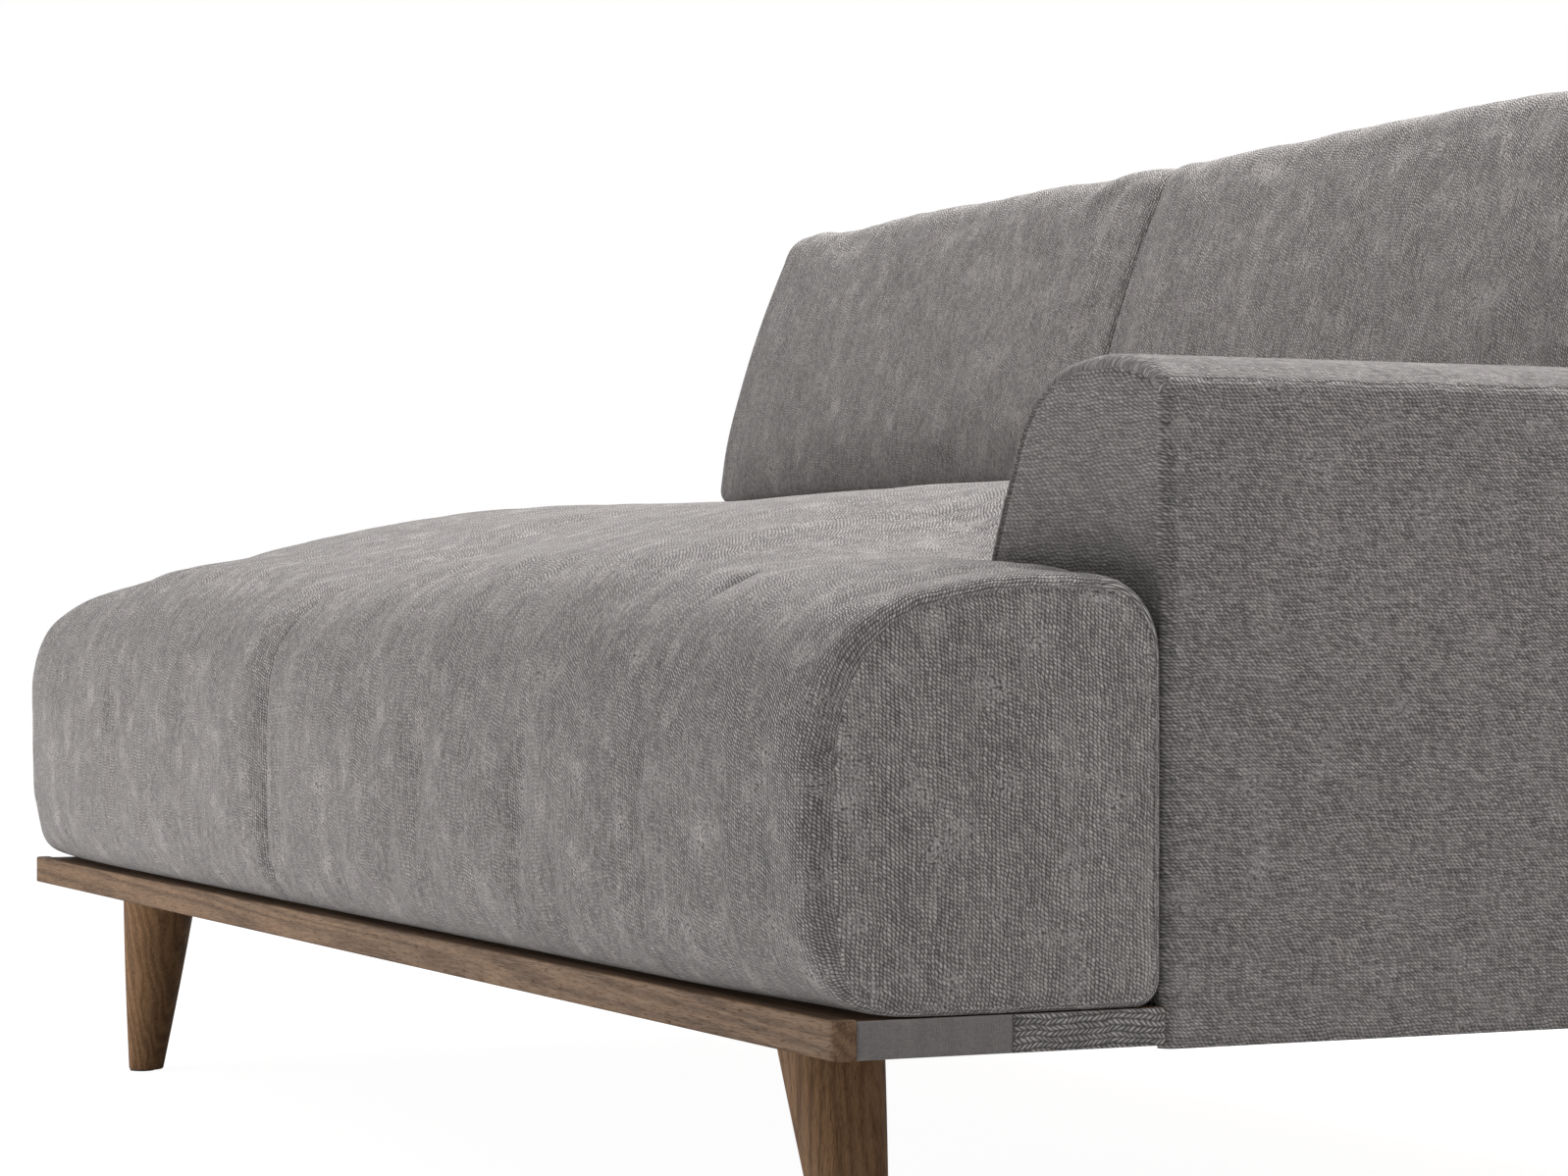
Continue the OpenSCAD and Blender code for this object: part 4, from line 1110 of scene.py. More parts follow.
@dataclass
class SeatCushion:
    """A seat cushion: a cloth wrap along X with an end panel at each end.

    The wrap-round one goes on as an ear in front of the arm.
    """

    name: str
    x0: float
    x1: float
    middle: Array
    left_style: tuple[float, float, float, float]
    right_style: tuple[float, float, float, float]
    ear_x: float | None = None

    def stations(self, start: float, end: float, left: bool, right: bool) -> Array:
        """Places along X, closer together where an end is rounded."""
        first = start + (END_RUN if left else END_RUN[:1])
        last = end - (END_RUN if right else END_RUN[:1])[::-1]
        count = max(int(round((last[0] - first[-1]) / 0.012)), 2)
        return np.r_[first, np.linspace(first[-1], last[0], count + 1)[1:-1], last]

    def make(self) -> bpy.types.Object:
        """Builds the cushion's mesh: rings of the profile, drawn in at the ends, and end panels."""
        top = SeatTop(self.x0, self.ear_x or self.x1, self.middle, self.x1 if self.ear_x else None)
        base = PROFILE.full(top, 0.5 * (self.x0 + self.x1))
        around = lengths(base, closed=True)
        seam = by_side(base, 0.0004, 0.0022, 0.0018, 0.0018)
        left = EndStyle(by_side(base, *self.left_style), seam, crown=0.0)
        xs = self.stations(self.x0, self.x1, True, not self.ear_x)
        if self.ear_x:
            extra = self.x1 - END_RUN[::-1]
            xs = np.r_[xs[xs < extra[0] - 0.004], extra]
            blend = smooth(base[:, 0], SIZE.ear_y - 0.02, SIZE.ear_y + 0.16)
            blend[: sum(PROFILE.counts[:2]) - 1] = 0.0
            blend[base[:, 1] < SIZE.seat_z + 0.001] = 0.0
            right = EndStyle(blend * by_side(base, 0.02, 0.024, 0.012, 0.006))
        else:
            right = EndStyle(by_side(base, *self.right_style), crown=0.0)
        rings = []
        for x in xs:
            ring = PROFILE.full(top, x)
            if not self.ear_x:
                drawn = 0.011 * max(-top.share(x), 0.0) ** 5
                ring[:, 0] += drawn * np.maximum(-ring_normals(ring)[:, 0], 0.0) ** 2
            inset = rounding(x - self.x0, left.radii) + rounding(self.x1 - x, right.radii)
            ring = ring - ring_normals(ring) * inset[:, None]
            rings.append(at_x(x, ring))
        rings = np.array(rings)
        patches = [tube_patch(rings, around), *self.cap(rings[0], -1.0, left)]
        patches += self.ear(rings[-1], top) if self.ear_x else self.cap(rings[-1], 1.0, right)
        piece = build(self.name, patches)
        PUFF.run(piece, self.loose(PUFF.points(piece.data)), 11 if self.ear_x else 12)
        return piece

    def loose(self, p: Array) -> Array:
        """How free the cover is: not at its end seams, its underside, its rear or beside the arm.

        Args:
            p: Vertex coordinates.

        Returns:
            A value from 0 to 1 at each vertex.
        """
        x, y, z = p.T
        free = smooth(np.minimum(x - self.x0, (self.ear_x or self.x1) - x), 0.004, 0.05)
        free *= smooth(z, SIZE.seat_z + 0.003, SIZE.seat_z + 0.03) * smooth(SIZE.crest_y - y, -0.002, 0.06)
        free *= np.where(y > SIZE.step_y - 0.006, smooth(z, SIZE.rest_z + 0.003, SIZE.rest_z + 0.04), 1.0)
        if self.ear_x:
            beside = np.maximum(smooth(SIZE.ear_y - y, 0.002, 0.05), smooth(self.x1 - x, 0.004, 0.06))
            free *= beside
        return free

    def cap(self, ring: Array, sign: float, style: EndStyle) -> list[Patch]:
        """End panel at the last ring of one end."""
        flat = ring[:, 1:]
        return end_cap(flat, ring_normals(flat), float(ring[0, 0]), sign, style, len(flat) - 8)

    def ear(self, last: Array, top: SeatTop) -> list[Patch]:
        """The ear: the inner wall beside the arm, rings in front of the arm and its end panel.

        Args:
            last: The full section's last ring.
            top: The cushion's top.

        Returns:
            The ear's patches.
        """
        first = PROFILE.ear(top, self.x1, 1.0)
        m = sum(PROFILE.counts[:3]) - 2
        n = len(first)
        t = np.linspace(0, 1, 15)[:, None, None]
        inner = at_x(self.x1, first)
        span = np.arange(m, n - PROFILE.counts[9] + 1)
        wall = (1 - t) * last[span][None] + t * inner[span][None]
        patches = [Patch(wall, wall[..., 1:].copy())]
        style = EndStyle(by_side(first, *self.right_style), by_side(first, 0.0001, 0.0009, 0.0009, 0.0012))
        xs = self.stations(self.x1, self.ear_x, False, True)
        rings = []
        for x in xs:
            ring = PROFILE.ear(top, x, 1.0 - float(smooth(x, self.x1, self.x1 + 0.10)))
            inset = rounding(self.ear_x - x, style.radii)
            ring = ring - ring_normals(ring) * inset[:, None]
            rings.append(at_x(x, ring))
        rings = np.array(rings)
        middle = 0.5 * (self.x0 + self.x1)
        around = lengths(first, closed=True)
        full = lengths(PROFILE.full(top, middle), closed=True)
        around[: m + 1] = full[: m + 1]
        patches.append(tube_patch(rings, around, float(xs[len(xs) // 2]) - middle))
        last_flat = rings[-1][:, 1:]
        return patches + end_cap(last_flat, ring_normals(last_flat), self.ear_x, 1.0, style, n - 8)


# ---------------------------------------------------------------- back cushions
@dataclass
class BackCushion:
    """A loose back cushion, drawn upright as (forward, up) and leant against the back."""

    name: str
    x0: float
    x1: float
    height: float = 0.286

    def section(self, front: float, top: float) -> Array:
        """Closed outline: underside, crowned front, rounded top and flat rear.

        Args:
            front: How far the front is drawn in.
            top: How far the top is drawn down.

        Returns:
            Points in (forward, up).
        """
        h = self.height - top
        r, s, q = 0.032, 0.016, 0.018
        face_h = np.linspace(s, h - r, 29)
        full = table_curve(
            face_h, (0, 0.060, 0.112, 0.170, 0.226, 0.256), (0.174, 0.1805, 0.180, 0.1765, 0.1695, 0.1645)
        )
        face = np.column_stack([full - front, face_h])
        f, f_top = face[0, 0], face[-1, 0]
        return chain(
            line((q, 0.0), (f - s, 0.0), 19),
            superellipse((f - s, s), (s, s), 2.0, -90, 0, 7),
            face,
            superellipse((f_top - r, h - r), (r, r), 2.1, 0, 90, 11),
            line((f_top - r, h), (q, h), 15),
            superellipse((q, h - q), (q, q), 2.0, 90, 180, 7),
            line((0.0, h - q), (0.0, q), 29),
            superellipse((q, q), (q, q), 2.0, 180, 270, 7),
        )[:-1]

    def place(self, x: float, ring: Array) -> Array:
        """Leans a ring of (forward, up) points against the back and puts it at x."""
        c, s = math.cos(SIZE.lean), math.sin(SIZE.lean)
        y = SIZE.pad_y - ring[:, 0] * c + ring[:, 1] * s
        z = SIZE.pad_z + ring[:, 0] * s + ring[:, 1] * c
        return np.column_stack([np.full(len(ring), x), y, z])

    def make(self) -> bpy.types.Object:
        """Builds the cushion's mesh from rings drawn in towards its ends, and end panels."""
        run = np.array([0.0, 0.0015, 0.004, 0.008, 0.014, 0.022, 0.032, 0.044, 0.056])
        count = int((self.x1 - self.x0 - 2 * run[-1]) / 0.012)
        inner = np.linspace(self.x0 + run[-1], self.x1 - run[-1], count + 1)[1:-1]
        xs = np.r_[self.x0 + run, inner, self.x1 - run[::-1]]
        rings, flats = [], []
        for x in xs:
            d = min(x - self.x0, self.x1 - x)
            t = max(1 - d / 0.062, 0.0)
            draw = 1 - (1 - t**2.3) ** (1 / 2.3)
            wide = abs(2 * (x - self.x0) / (self.x1 - self.x0) - 1) ** 3
            ring = self.section(0.002 * wide, 0.004 * draw + 0.002 * wide)
            n = ring_normals(ring)
            share = np.clip(ring[:, 1] / self.height, 0, 1)
            drawn = (0.004 + 0.008 * share) * draw * np.maximum(n[:, 0], 0) ** 2
            ring = ring - np.column_stack([drawn, np.zeros(len(ring))])
            inset = rounding(d, np.full(len(ring), 0.008))
            ring = ring - ring_normals(ring) * inset[:, None]
            flats.append(ring)
            rings.append(self.place(x, ring))
        rings = np.array(rings)
        around = lengths(self.section(0.0, 0.0), closed=True)
        patches = [tube_patch(rings, around)]
        for k, sign in ((0, -1.0), (-1, 1.0)):
            flat = flats[k]
            style = EndStyle(np.zeros(len(flat)), crown=0.0)
            for patch in end_cap(flat, ring_normals(flat), float(xs[k]), sign, style, 8):
                p = patch.points.reshape(-1, 3)
                lean = self.place(0.0, p[:, 1:])
                lean[:, 0] = p[:, 0]
                patches.append(Patch(lean.reshape(patch.points.shape), patch.uv))
        piece = build(self.name, patches)
        PUFF.run(piece, self.loose(PUFF.points(piece.data)), 13 if self.x0 < -0.5 else 14)
        return piece

    def loose(self, p: Array) -> Array:
        """How free the cover is: not at its end seams, its underside or its rear.

        Args:
            p: Vertex coordinates.

        Returns:
            A value from 0 to 1 at each vertex.
        """
        c, s = math.cos(SIZE.lean), math.sin(SIZE.lean)
        y, z = SIZE.pad_y - p[:, 1], p[:, 2] - SIZE.pad_z
        forward, up = y * c + z * s, z * c - y * s
        free = smooth(np.minimum(p[:, 0] - self.x0, self.x1 - p[:, 0]), 0.004, 0.05)
        return free * smooth(forward, 0.01, 0.06) * smooth(up, 0.004, 0.04)


# ---------------------------------------------------------------- sheets of cloth
def seam_panel(ring: Array, normal: Array, level: float, sign: float, swap: bool = False) -> list[Patch]:
    """Flat sewn panel whose border sinks into a seam groove, except along its open foot.

    Args:
        ring: Outline in the panel's plane, with a multiple of four points.
        normal: Outward normals of the outline.
        level: Place of the plane on the third axis.
        sign: Outward direction on that axis.
        swap: Whether the plane is (y, z) and not (x, z).

    Returns:
        The panel's patches.
    """
    for _ in range(6):
        normal = (np.roll(normal, 2, 0) + normal + np.roll(normal, -2, 0)) / 3
    normal = normal / np.linalg.norm(normal, axis=1, keepdims=True)
    foot = ring[:, 1] < ring[:, 1].min() + 1e-6
    depth = np.where(foot, 0.0, 1.0 if swap else 0.12 + 0.88 * smooth(-normal[:, 0], -0.85, -0.5))
    steps = [(0.0080, 0.0003), (0.0087, 0.0018), (0.0096, 0.0024), (0.0106, 0.0014), (0.0122, 0.0001), (0.016, 0.0)]
    rows = []
    for inset, groove in steps:
        place, height = ring - normal * inset, level - sign * groove * depth
        place[foot, 1] = ring[foot, 1]
        rows.append(np.column_stack([height, place] if swap else [place[:, 0], height, place[:, 1]]))
    rows = np.array(rows)
    closed = np.concatenate([rows, rows[:, :1]], 1)
    grid = fill_ring(rows[-1])
    plane = [1, 2] if swap else [0, 2]
    return [Patch(closed, closed[..., plane]), Patch(grid, grid[..., plane].copy())]


def sheet(u: Array, v: Array, place: Callable[[Array, Array], Array]) -> Patch:
    """Patch over the products of two parameter lists.

    Args:
        u: First parameter.
        v: Second parameter.
        place: Gives the points at grids of both.

    Returns:
        The patch, with its running lengths as cloth coordinates.
    """
    points = place(*np.meshgrid(u, v, indexing="ij"))
    uv = np.zeros((*points.shape[:2], 2))
    uv[1:, :, 0] = np.cumsum(np.linalg.norm(np.diff(points, axis=0), axis=2), axis=0)
    uv[:, 1:, 1] = np.cumsum(np.linalg.norm(np.diff(points, axis=1), axis=2), axis=1)
    return Patch(points, uv)


COVER_T, LINING_T, STRAP_T = 0.0018, 0.0005, 0.0015


def sewn(
    name: str, patches: Sequence[Patch], inside: Sequence[float], material: bpy.types.Material,
    nodes: Sequence[str], thickness: float = COVER_T,
) -> None:
    """Builds a sheet of cloth on the frame, with its thickness inwards.

    Args:
        name: The sheet's name.
        patches: Its patches.
        inside: A point that its normals must face away from.
        material: Its material.
        nodes: CAD nodes that it stands for.
        thickness: Its thickness.
    """
    piece = build(name, patches, inside=inside)
    cloth = piece.modifiers.new("thickness", "SOLIDIFY")
    cloth.thickness, cloth.offset = thickness, -1.0
    dress(piece, material, "frame", nodes)


@dataclass
class Underlay:
    """The flat cloths: base bands, open end, fixed back, deck and underside."""

    finishes: Finishes

    def make(self) -> None:
        """Builds every flat cloth."""
        self.bands()
        self.open_end()
        self.fixed_back()
        self.deck()

    def bands(self) -> None:
        """Fine and coarse fabric on the base's end: a strip with rolled long edges and a swell."""
        f = self.finishes
        split = 0.5 * (SIZE.rail_y + SIZE.rail_t + SIZE.arm_y)
        for name, y0, y1, material, slot, node, out in (
            ("base_band_fine", SIZE.rail_y + SIZE.rail_t, split, f.band, "woven_fabric", "side_band", 0.0),
            ("base_band_coarse", split, SIZE.arm_y, f.coarse, "coarse_fabric", "side_band_coarse", 0.0006),
        ):
            def place(y: Array, v: Array, out: float = out) -> Array:
                """Strip over y, with v from -1 at its lower edge to 1 at its upper."""
                turn = np.clip(np.abs(v) - 0.92, 0, 1) / 0.08
                x = SIZE.right + out + 0.0004 * (1 - v**2) - 0.0022 * (1 - np.sqrt(np.clip(1 - turn**2, 0, 1)))
                z = 0.5 * (SIZE.floor_z + SIZE.top_z) + 0.5 * (SIZE.top_z - SIZE.floor_z) * v
                return np.stack([x, y, z], -1)

            rows = np.r_[-1, -0.99, -0.975, -0.95, np.linspace(-0.92, 0.92, 13), 0.95, 0.975, 0.99, 1]
            strip = sheet(np.linspace(y0, y1, 50), rows, place)
            sewn(name, [strip], (0.5, 0.0, 0.18), material, [node])

    def open_end(self) -> None:
        """Fabric on the open left end, with two round joining holes.

        Round each hole, rings run from a square border to the circle.
        """
        x, hole_r, hole_z = SIZE.left, 0.00425, 0.220
        half = 0.5 * (SIZE.cloth_z - SIZE.top_z)
        middle = SIZE.top_z + half
        holes = (-0.120942, 0.199058)
        edges = np.linspace(-half, half, 13)
        stops = [SIZE.step_y]
        for hole in holes:
            stops += [hole - half, hole + half]
        spans = [np.linspace(a, b, max(int((b - a) / 0.008), 2) + 1) for a, b in zip(stops[::2], stops[1::2])]
        inner = [hole + edges for hole in holes]
        end_y = inner[1][-1]
        upper_z = middle + edges
        lower_z = np.linspace(SIZE.floor_z, SIZE.top_z, 6)

        def flat(y: Array, z: Array) -> Array:
            """Points of the end plane."""
            return np.stack([np.full_like(y, x), y, z], -1)

        def leaning(share: Array, z: Array) -> Array:
            """Points of the end plane between the last hole's border and the leaning back."""
            stop = SIZE.foot_y + (z - SIZE.top_z) * math.tan(SIZE.lean)
            return np.stack([np.full_like(z, x), end_y + (stop - end_y) * share, z], -1)

        patches = [sheet(span, upper_z, flat) for span in spans]
        patches.append(sheet(np.linspace(0, 1, 11), upper_z, leaning))
        for hole in holes:
            square = chain(
                line((-half, -half), (half, -half), 13), line((half, -half), (half, half), 13),
                line((half, half), (-half, half), 13), line((-half, half), (-half, -half), 13),
            )[:-1]
            angle = np.arctan2(square[:, 1], square[:, 0])
            circle = hole_r * np.column_stack([np.cos(angle), np.sin(angle)]) + (0.0, hole_z - middle)
            share = np.linspace(0, 1, 9)[:, None, None]
            rings = (1 - share) * square[None] + share * circle[None]
            depth = 0.0012 * share[..., 0] ** 8 * np.ones(len(square))
            points = np.stack([x + depth, hole + rings[..., 0], middle + rings[..., 1]], -1)
            points = np.concatenate([points, points[:, :1]], 1)
            patches.append(Patch(points, points[..., 1:].copy()))
        along = np.unique(np.round(np.concatenate([*spans, *inner]), 7))
        foot = SIZE.foot_y
        before = np.linspace(SIZE.rail_y + SIZE.rail_t, SIZE.step_y, 28)
        after = np.r_[np.linspace(end_y, foot, 11), np.linspace(foot, SIZE.back_y - 0.008, 20)[1:]]
        patches.append(sheet(np.unique(np.round(np.r_[before, along, after], 7)), lower_z, flat))
        cover = self.finishes.cover
        sewn("open_end_upholstery", patches, (0.0, 0.1, 0.2), cover, ["left_end_cover"])

    def fixed_back(self) -> None:
        """Cover of the fixed back: a band over its front, top and rear, and the open end's panel."""
        r, rear_r, top, rear, foot = 0.010, 0.0045, SIZE.back_z, SIZE.back_y, SIZE.top_z
        reach = SIZE.lean_y(top)
        turn = np.linspace(math.pi - SIZE.lean, math.pi / 2, 10)
        cy = reach + r / math.cos(SIZE.lean) - r * math.tan(SIZE.lean)
        corner = np.column_stack([cy + r * np.cos(turn), top - r + r * np.sin(turn)])
        front = line((SIZE.foot_y, foot), corner[0], 70)
        outline = chain(
            front, corner, line(corner[-1], (rear - rear_r, top), 6),
            superellipse((rear - rear_r, top - rear_r), (rear_r, rear_r), 2.0, 90, 0, 8),
            line((rear, top - rear_r), (rear, SIZE.floor_z), 70),
        )
        ring_n = ring_normals(outline)
        s = lengths(outline)
        xs = SIZE.left + ROLL_RUN
        xs = np.r_[xs, np.linspace(xs[-1], SIZE.arm_x, 120)[1:]]
        rows = []
        for x in xs:
            inset = float(rounding(x - SIZE.left, np.array([0.008]))[0])
            rows.append(at_x(x, outline - ring_n * inset))
        uv = np.stack(np.broadcast_arrays(xs[:, None], s[None, :]), -1)
        sewn(
            "back_upholstery_band", [Patch(np.array(rows), uv)], (-0.1, 0.44, 0.45), self.finishes.cover,
            ["back_front_cover", "back_rear_cover", "back_padding"],
        )
        ring = outline[outline[:, 1] >= foot - 1e-6]
        ring = np.concatenate([ring, line((rear, foot), outline[0], 30)[:-1]])
        ring = resample(np.concatenate([ring, ring[:1]]), 201)[:-1]
        panel = seam_panel(ring, ring_normals(ring), SIZE.left, -1.0, True)
        sewn("back_upholstery_end", panel, (0.0, 0.44, 0.45), self.finishes.cover, ["back_end_cover"])

    def deck(self) -> None:
        """Deck cloth, webbing straps that sag between the beams, back straps and underside cloth."""
        f = self.finishes
        x0, x1 = SIZE.left + SIZE.cover, SIZE.arm_x
        y0, y1 = SIZE.step_y + 0.0006, SIZE.foot_y - 0.0002

        def ripple(x: Array, y: Array, z: float, seed: int) -> Array:
            """Level cloth with a slight unevenness, 0.3 mm times a sum of sines over 12 cm."""
            soft = 0.0003 * (waves(np.stack([x, y, 0 * x], -1), 0.12, seed) - 1.3)
            return np.stack([x, y, z + soft], -1)

        cloth = sheet(np.linspace(x0, x1, 150), np.linspace(y0, y1, 60), lambda x, y: ripple(x, y, SIZE.cloth_z, 3))
        sewn("deck_lining", [cloth], (0.0, 0.0, 0.1), f.lining, ["deck_cloth"], LINING_T)
        low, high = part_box("underside_lining")
        cloth = sheet(
            np.linspace(low[0], high[0], 150), np.linspace(low[1], high[1], 60),
            lambda x, y: ripple(x, y, low[2] + 0.0012, 4),
        )
        sewn("underside_dust_cloth", [cloth], (0.0, 0.0, 0.6), f.lining, ["underside_lining"], LINING_T)
        low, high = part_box("seat_webbing")
        beam, centre = 0.028, 0.5 * (SIZE.left + SIZE.cover + SIZE.arm_x)
        bays = [(x0 + beam, centre - beam / 2), (centre + beam / 2, x1 - beam)]
        straps = []
        for a, b in bays:
            for k in range(7):
                x = a + (b - a) * (k + 0.5) / 7
                straps.append(sheet(
                    np.linspace(x - 0.03, x + 0.03, 7), np.linspace(y0, y1, 50),
                    lambda u, v: np.stack([u, v, high[2] - 0.0003 - 0.004 * np.sin(np.pi * (v - y0) / (y1 - y0))], -1),
                ))
        sewn("deck_webbing_straps", straps, (0.0, 0.0, 0.1), f.webbing, ["seat_webbing"], STRAP_T)
        free = SIZE.back_z - SIZE.cloth_z
        straps = []
        for k in range(4):
            z = SIZE.cloth_z + free * (k + 0.5) / 4
            straps.append(sheet(
                np.linspace(x0, x1, 120), np.linspace(z - 0.029, z + 0.029, 7),
                lambda u, v: np.stack([u, SIZE.foot_y + (v - SIZE.top_z) * math.tan(SIZE.lean) + 0.0167, v], -1),
            ))
        sewn("back_webbing_straps", straps, (0.0, 0.9, 0.4), f.webbing, ["back_webbing"], STRAP_T)


# ---------------------------------------------------------------- arm
@dataclass
class Arm:
    """The arm's sewn cover: side panel, top strip, front and rear panels."""

    finishes: Finishes
    edge: float = 0.008

    def curve(self) -> Array:
        """Arm outline over the top, in (x, z), from the outer seam to the inner side's foot.

        Returns:
            Evenly spaced points of a smooth curve through a table read off the photograph.
        """
        inwards = (0.0, 20.0, 47.6, 94.4, 131.8, 158.0, 175.2, 190.0, 208.0, 218.5, 221.0, 221.5, 221.5)
        height = (553.0, 563.0, 569.0, 569.8, 564.0, 551.5, 534.0, 507.0, 472.0, 447.0, 420.0, 380.0, 190.0)
        s = np.r_[0.0, np.cumsum(np.hypot(np.diff(inwards), np.diff(height)))]
        t = np.linspace(0.0, s[-1], 800)
        u, z = table_curve(t, s, inwards), table_curve(t, s, height)
        points = resample(np.column_stack([SIZE.right - u / 1000, z / 1000]), 120)
        return points

    def run(self, start: float, end: float) -> Array:
        """Places along Y between two rounded edges."""
        first, last = start + ROLL_RUN, end - ROLL_RUN[::-1]
        return np.r_[first, np.linspace(first[-1], last[0], 60)[1:-1], last]

    def sweep(self, outline: Array, tuck: bool) -> Patch:
        """Sweeps an open outline along Y, rounded towards the front and rear panels.

        Args:
            outline: Points in (x, z), outer side first.
            tuck: Whether the first point's edge is rolled into the side seam.

        Returns:
            The patch.
        """
        ys = self.run(SIZE.arm_y, SIZE.back_y)
        t = np.gradient(outline, axis=0)
        t /= np.linalg.norm(t, axis=1, keepdims=True)
        n = np.column_stack([-t[:, 1], t[:, 0]])
        if np.mean(n[:, 1]) < 0 or (abs(np.mean(n[:, 1])) < 0.2 and np.mean(n[:, 0]) < 0):
            n = -n
        s = lengths(outline)
        seam = np.exp(-((s / 0.0022) ** 2)) if tuck else np.exp(-(((s[-1] - s) / 0.0022) ** 2))
        rows = []
        for y in ys:
            d = min(y - SIZE.arm_y, SIZE.back_y - y)
            inset = float(rounding(d, np.array([self.edge]))[0])
            place = outline - n * (inset + 0.0022 * seam)[:, None]
            rows.append(np.column_stack([place[:, 0], np.full(len(place), y), place[:, 1]]))
        rows = np.array(rows)
        uv = np.stack(np.broadcast_arrays(ys[:, None], s[None, :]), -1)
        return Patch(rows, uv)

    def make(self) -> None:
        """Builds the arm's four upholstered panels."""
        f = self.finishes
        close = np.array([0.0, 0.0007, 0.0014, 0.0022, 0.0032, 0.0045, 0.0065])
        top = self.curve()
        s = lengths(top)
        marks = np.r_[close, np.linspace(0.0065, s[-1], 110)[1:]]
        top = np.column_stack([np.interp(marks, s, top[:, k]) for k in (0, 1)])
        seam_z = top[0, 1]
        low_z = SIZE.floor_z - 0.0022
        side_z = np.r_[np.linspace(low_z, seam_z - 0.0065, 60)[:-1], seam_z - close[::-1]]
        side = np.column_stack([np.full(len(side_z), SIZE.right), side_z])
        swell = np.sin(np.pi * np.clip((side_z - low_z) / (seam_z - low_z), 0.0, 1.0))
        bulge = 0.0035 * np.maximum(swell, 0.0) ** 0.7
        side_patch = self.sweep(side, tuck=False)
        depth = np.sin(np.pi * np.clip((side_patch.points[..., 1] - SIZE.arm_y) / (SIZE.back_y - SIZE.arm_y), 0, 1))
        side_patch.points[..., 0] += bulge[None] * np.abs(depth) ** 0.4
        centre = (0.745, 0.115, 0.36)
        sewn("arm_side_upholstery", [side_patch], centre, f.cover, ["arm_side_cover"])
        strip = self.sweep(top, tuck=True)
        sewn("arm_top_upholstery", [strip], centre, f.cover, ["arm_top_cover", "arm_padding"])
        for name, y, sign, nodes in (
            ("arm_front_upholstery", SIZE.arm_y, -1.0, ["arm_front_cover"]),
            ("arm_rear_upholstery", SIZE.back_y, 1.0, ["arm_rear_cover"]),
        ):
            low = SIZE.top_z if sign < 0 else SIZE.floor_z
            outer = line((SIZE.right, low), (SIZE.right, seam_z), 60)
            arch = resample(self.curve(), 121)
            arch = arch[arch[:, 1] >= low]
            arch = np.concatenate([arch, line(arch[-1], (arch[-1, 0], low), 6)[1:]]) if arch[-1, 1] > low else arch
            ring = resample(np.concatenate([outer, arch, line(arch[-1], (SIZE.right, low), 40)]), 241)[:-1]
            panel = seam_panel(ring, ring_normals(ring), y, sign)
            sewn(name, panel, centre, f.striped, nodes)


# ---------------------------------------------------------------- wood parts
def turned_leg(name: str, x: float, y: float, side: float) -> bpy.types.Object:
    """Leg of level circles whose centre moves outwards towards the floor.

    Radius 15.2 mm at the foot to 33.2 mm at the top with a slight swelling 0.8 sin(pi t) mm; the
    foot's edge is rounded over 1.6 mm.

    Args:
        name: The object's name.
        x: The top's centre.
        y: The centre's y.
        side: 1 for a right leg and -1 for a left one.

    Returns:
        The object.
    """
    z_foot, z_top = 0.0012, SIZE.floor_z
    edge = 0.0016
    rounded = z_foot + edge * (1 - np.cos(np.radians(np.linspace(0, 90, 6))))
    levels = np.r_[rounded, np.linspace(z_foot + edge, z_top, 40)[1:]]
    t = levels / z_top
    radius = 0.0152 + 0.0180 * t + 0.0008 * np.sin(np.pi * t)
    near = np.clip((levels - z_foot) / edge, 0, 1)
    radius = radius - edge * (1 - np.sqrt(np.clip(1 - (1 - near) ** 2, 0, 1)))
    a = np.linspace(0, 2 * np.pi, 65)[:-1]
    rings = np.stack([
        x + side * 0.046 * (1 - t)[:, None] + radius[:, None] * np.cos(a)[None],
        y + radius[:, None] * np.sin(a)[None],
        np.broadcast_to(levels[:, None], (len(levels), len(a))),
    ], -1)
    closed = np.concatenate([rings, rings[:, :1]], 1)
    uv = np.stack(np.broadcast_arrays(np.r_[a, 2 * np.pi][None] * 0.022, levels[:, None]), -1)
    patches = [Patch(closed, uv)]
    for ring in (rings[0], rings[-1]):
        grid = fill_ring(ring, 40)
        patches.append(Patch(grid, grid[..., :2].copy()))
    return build(name, patches)


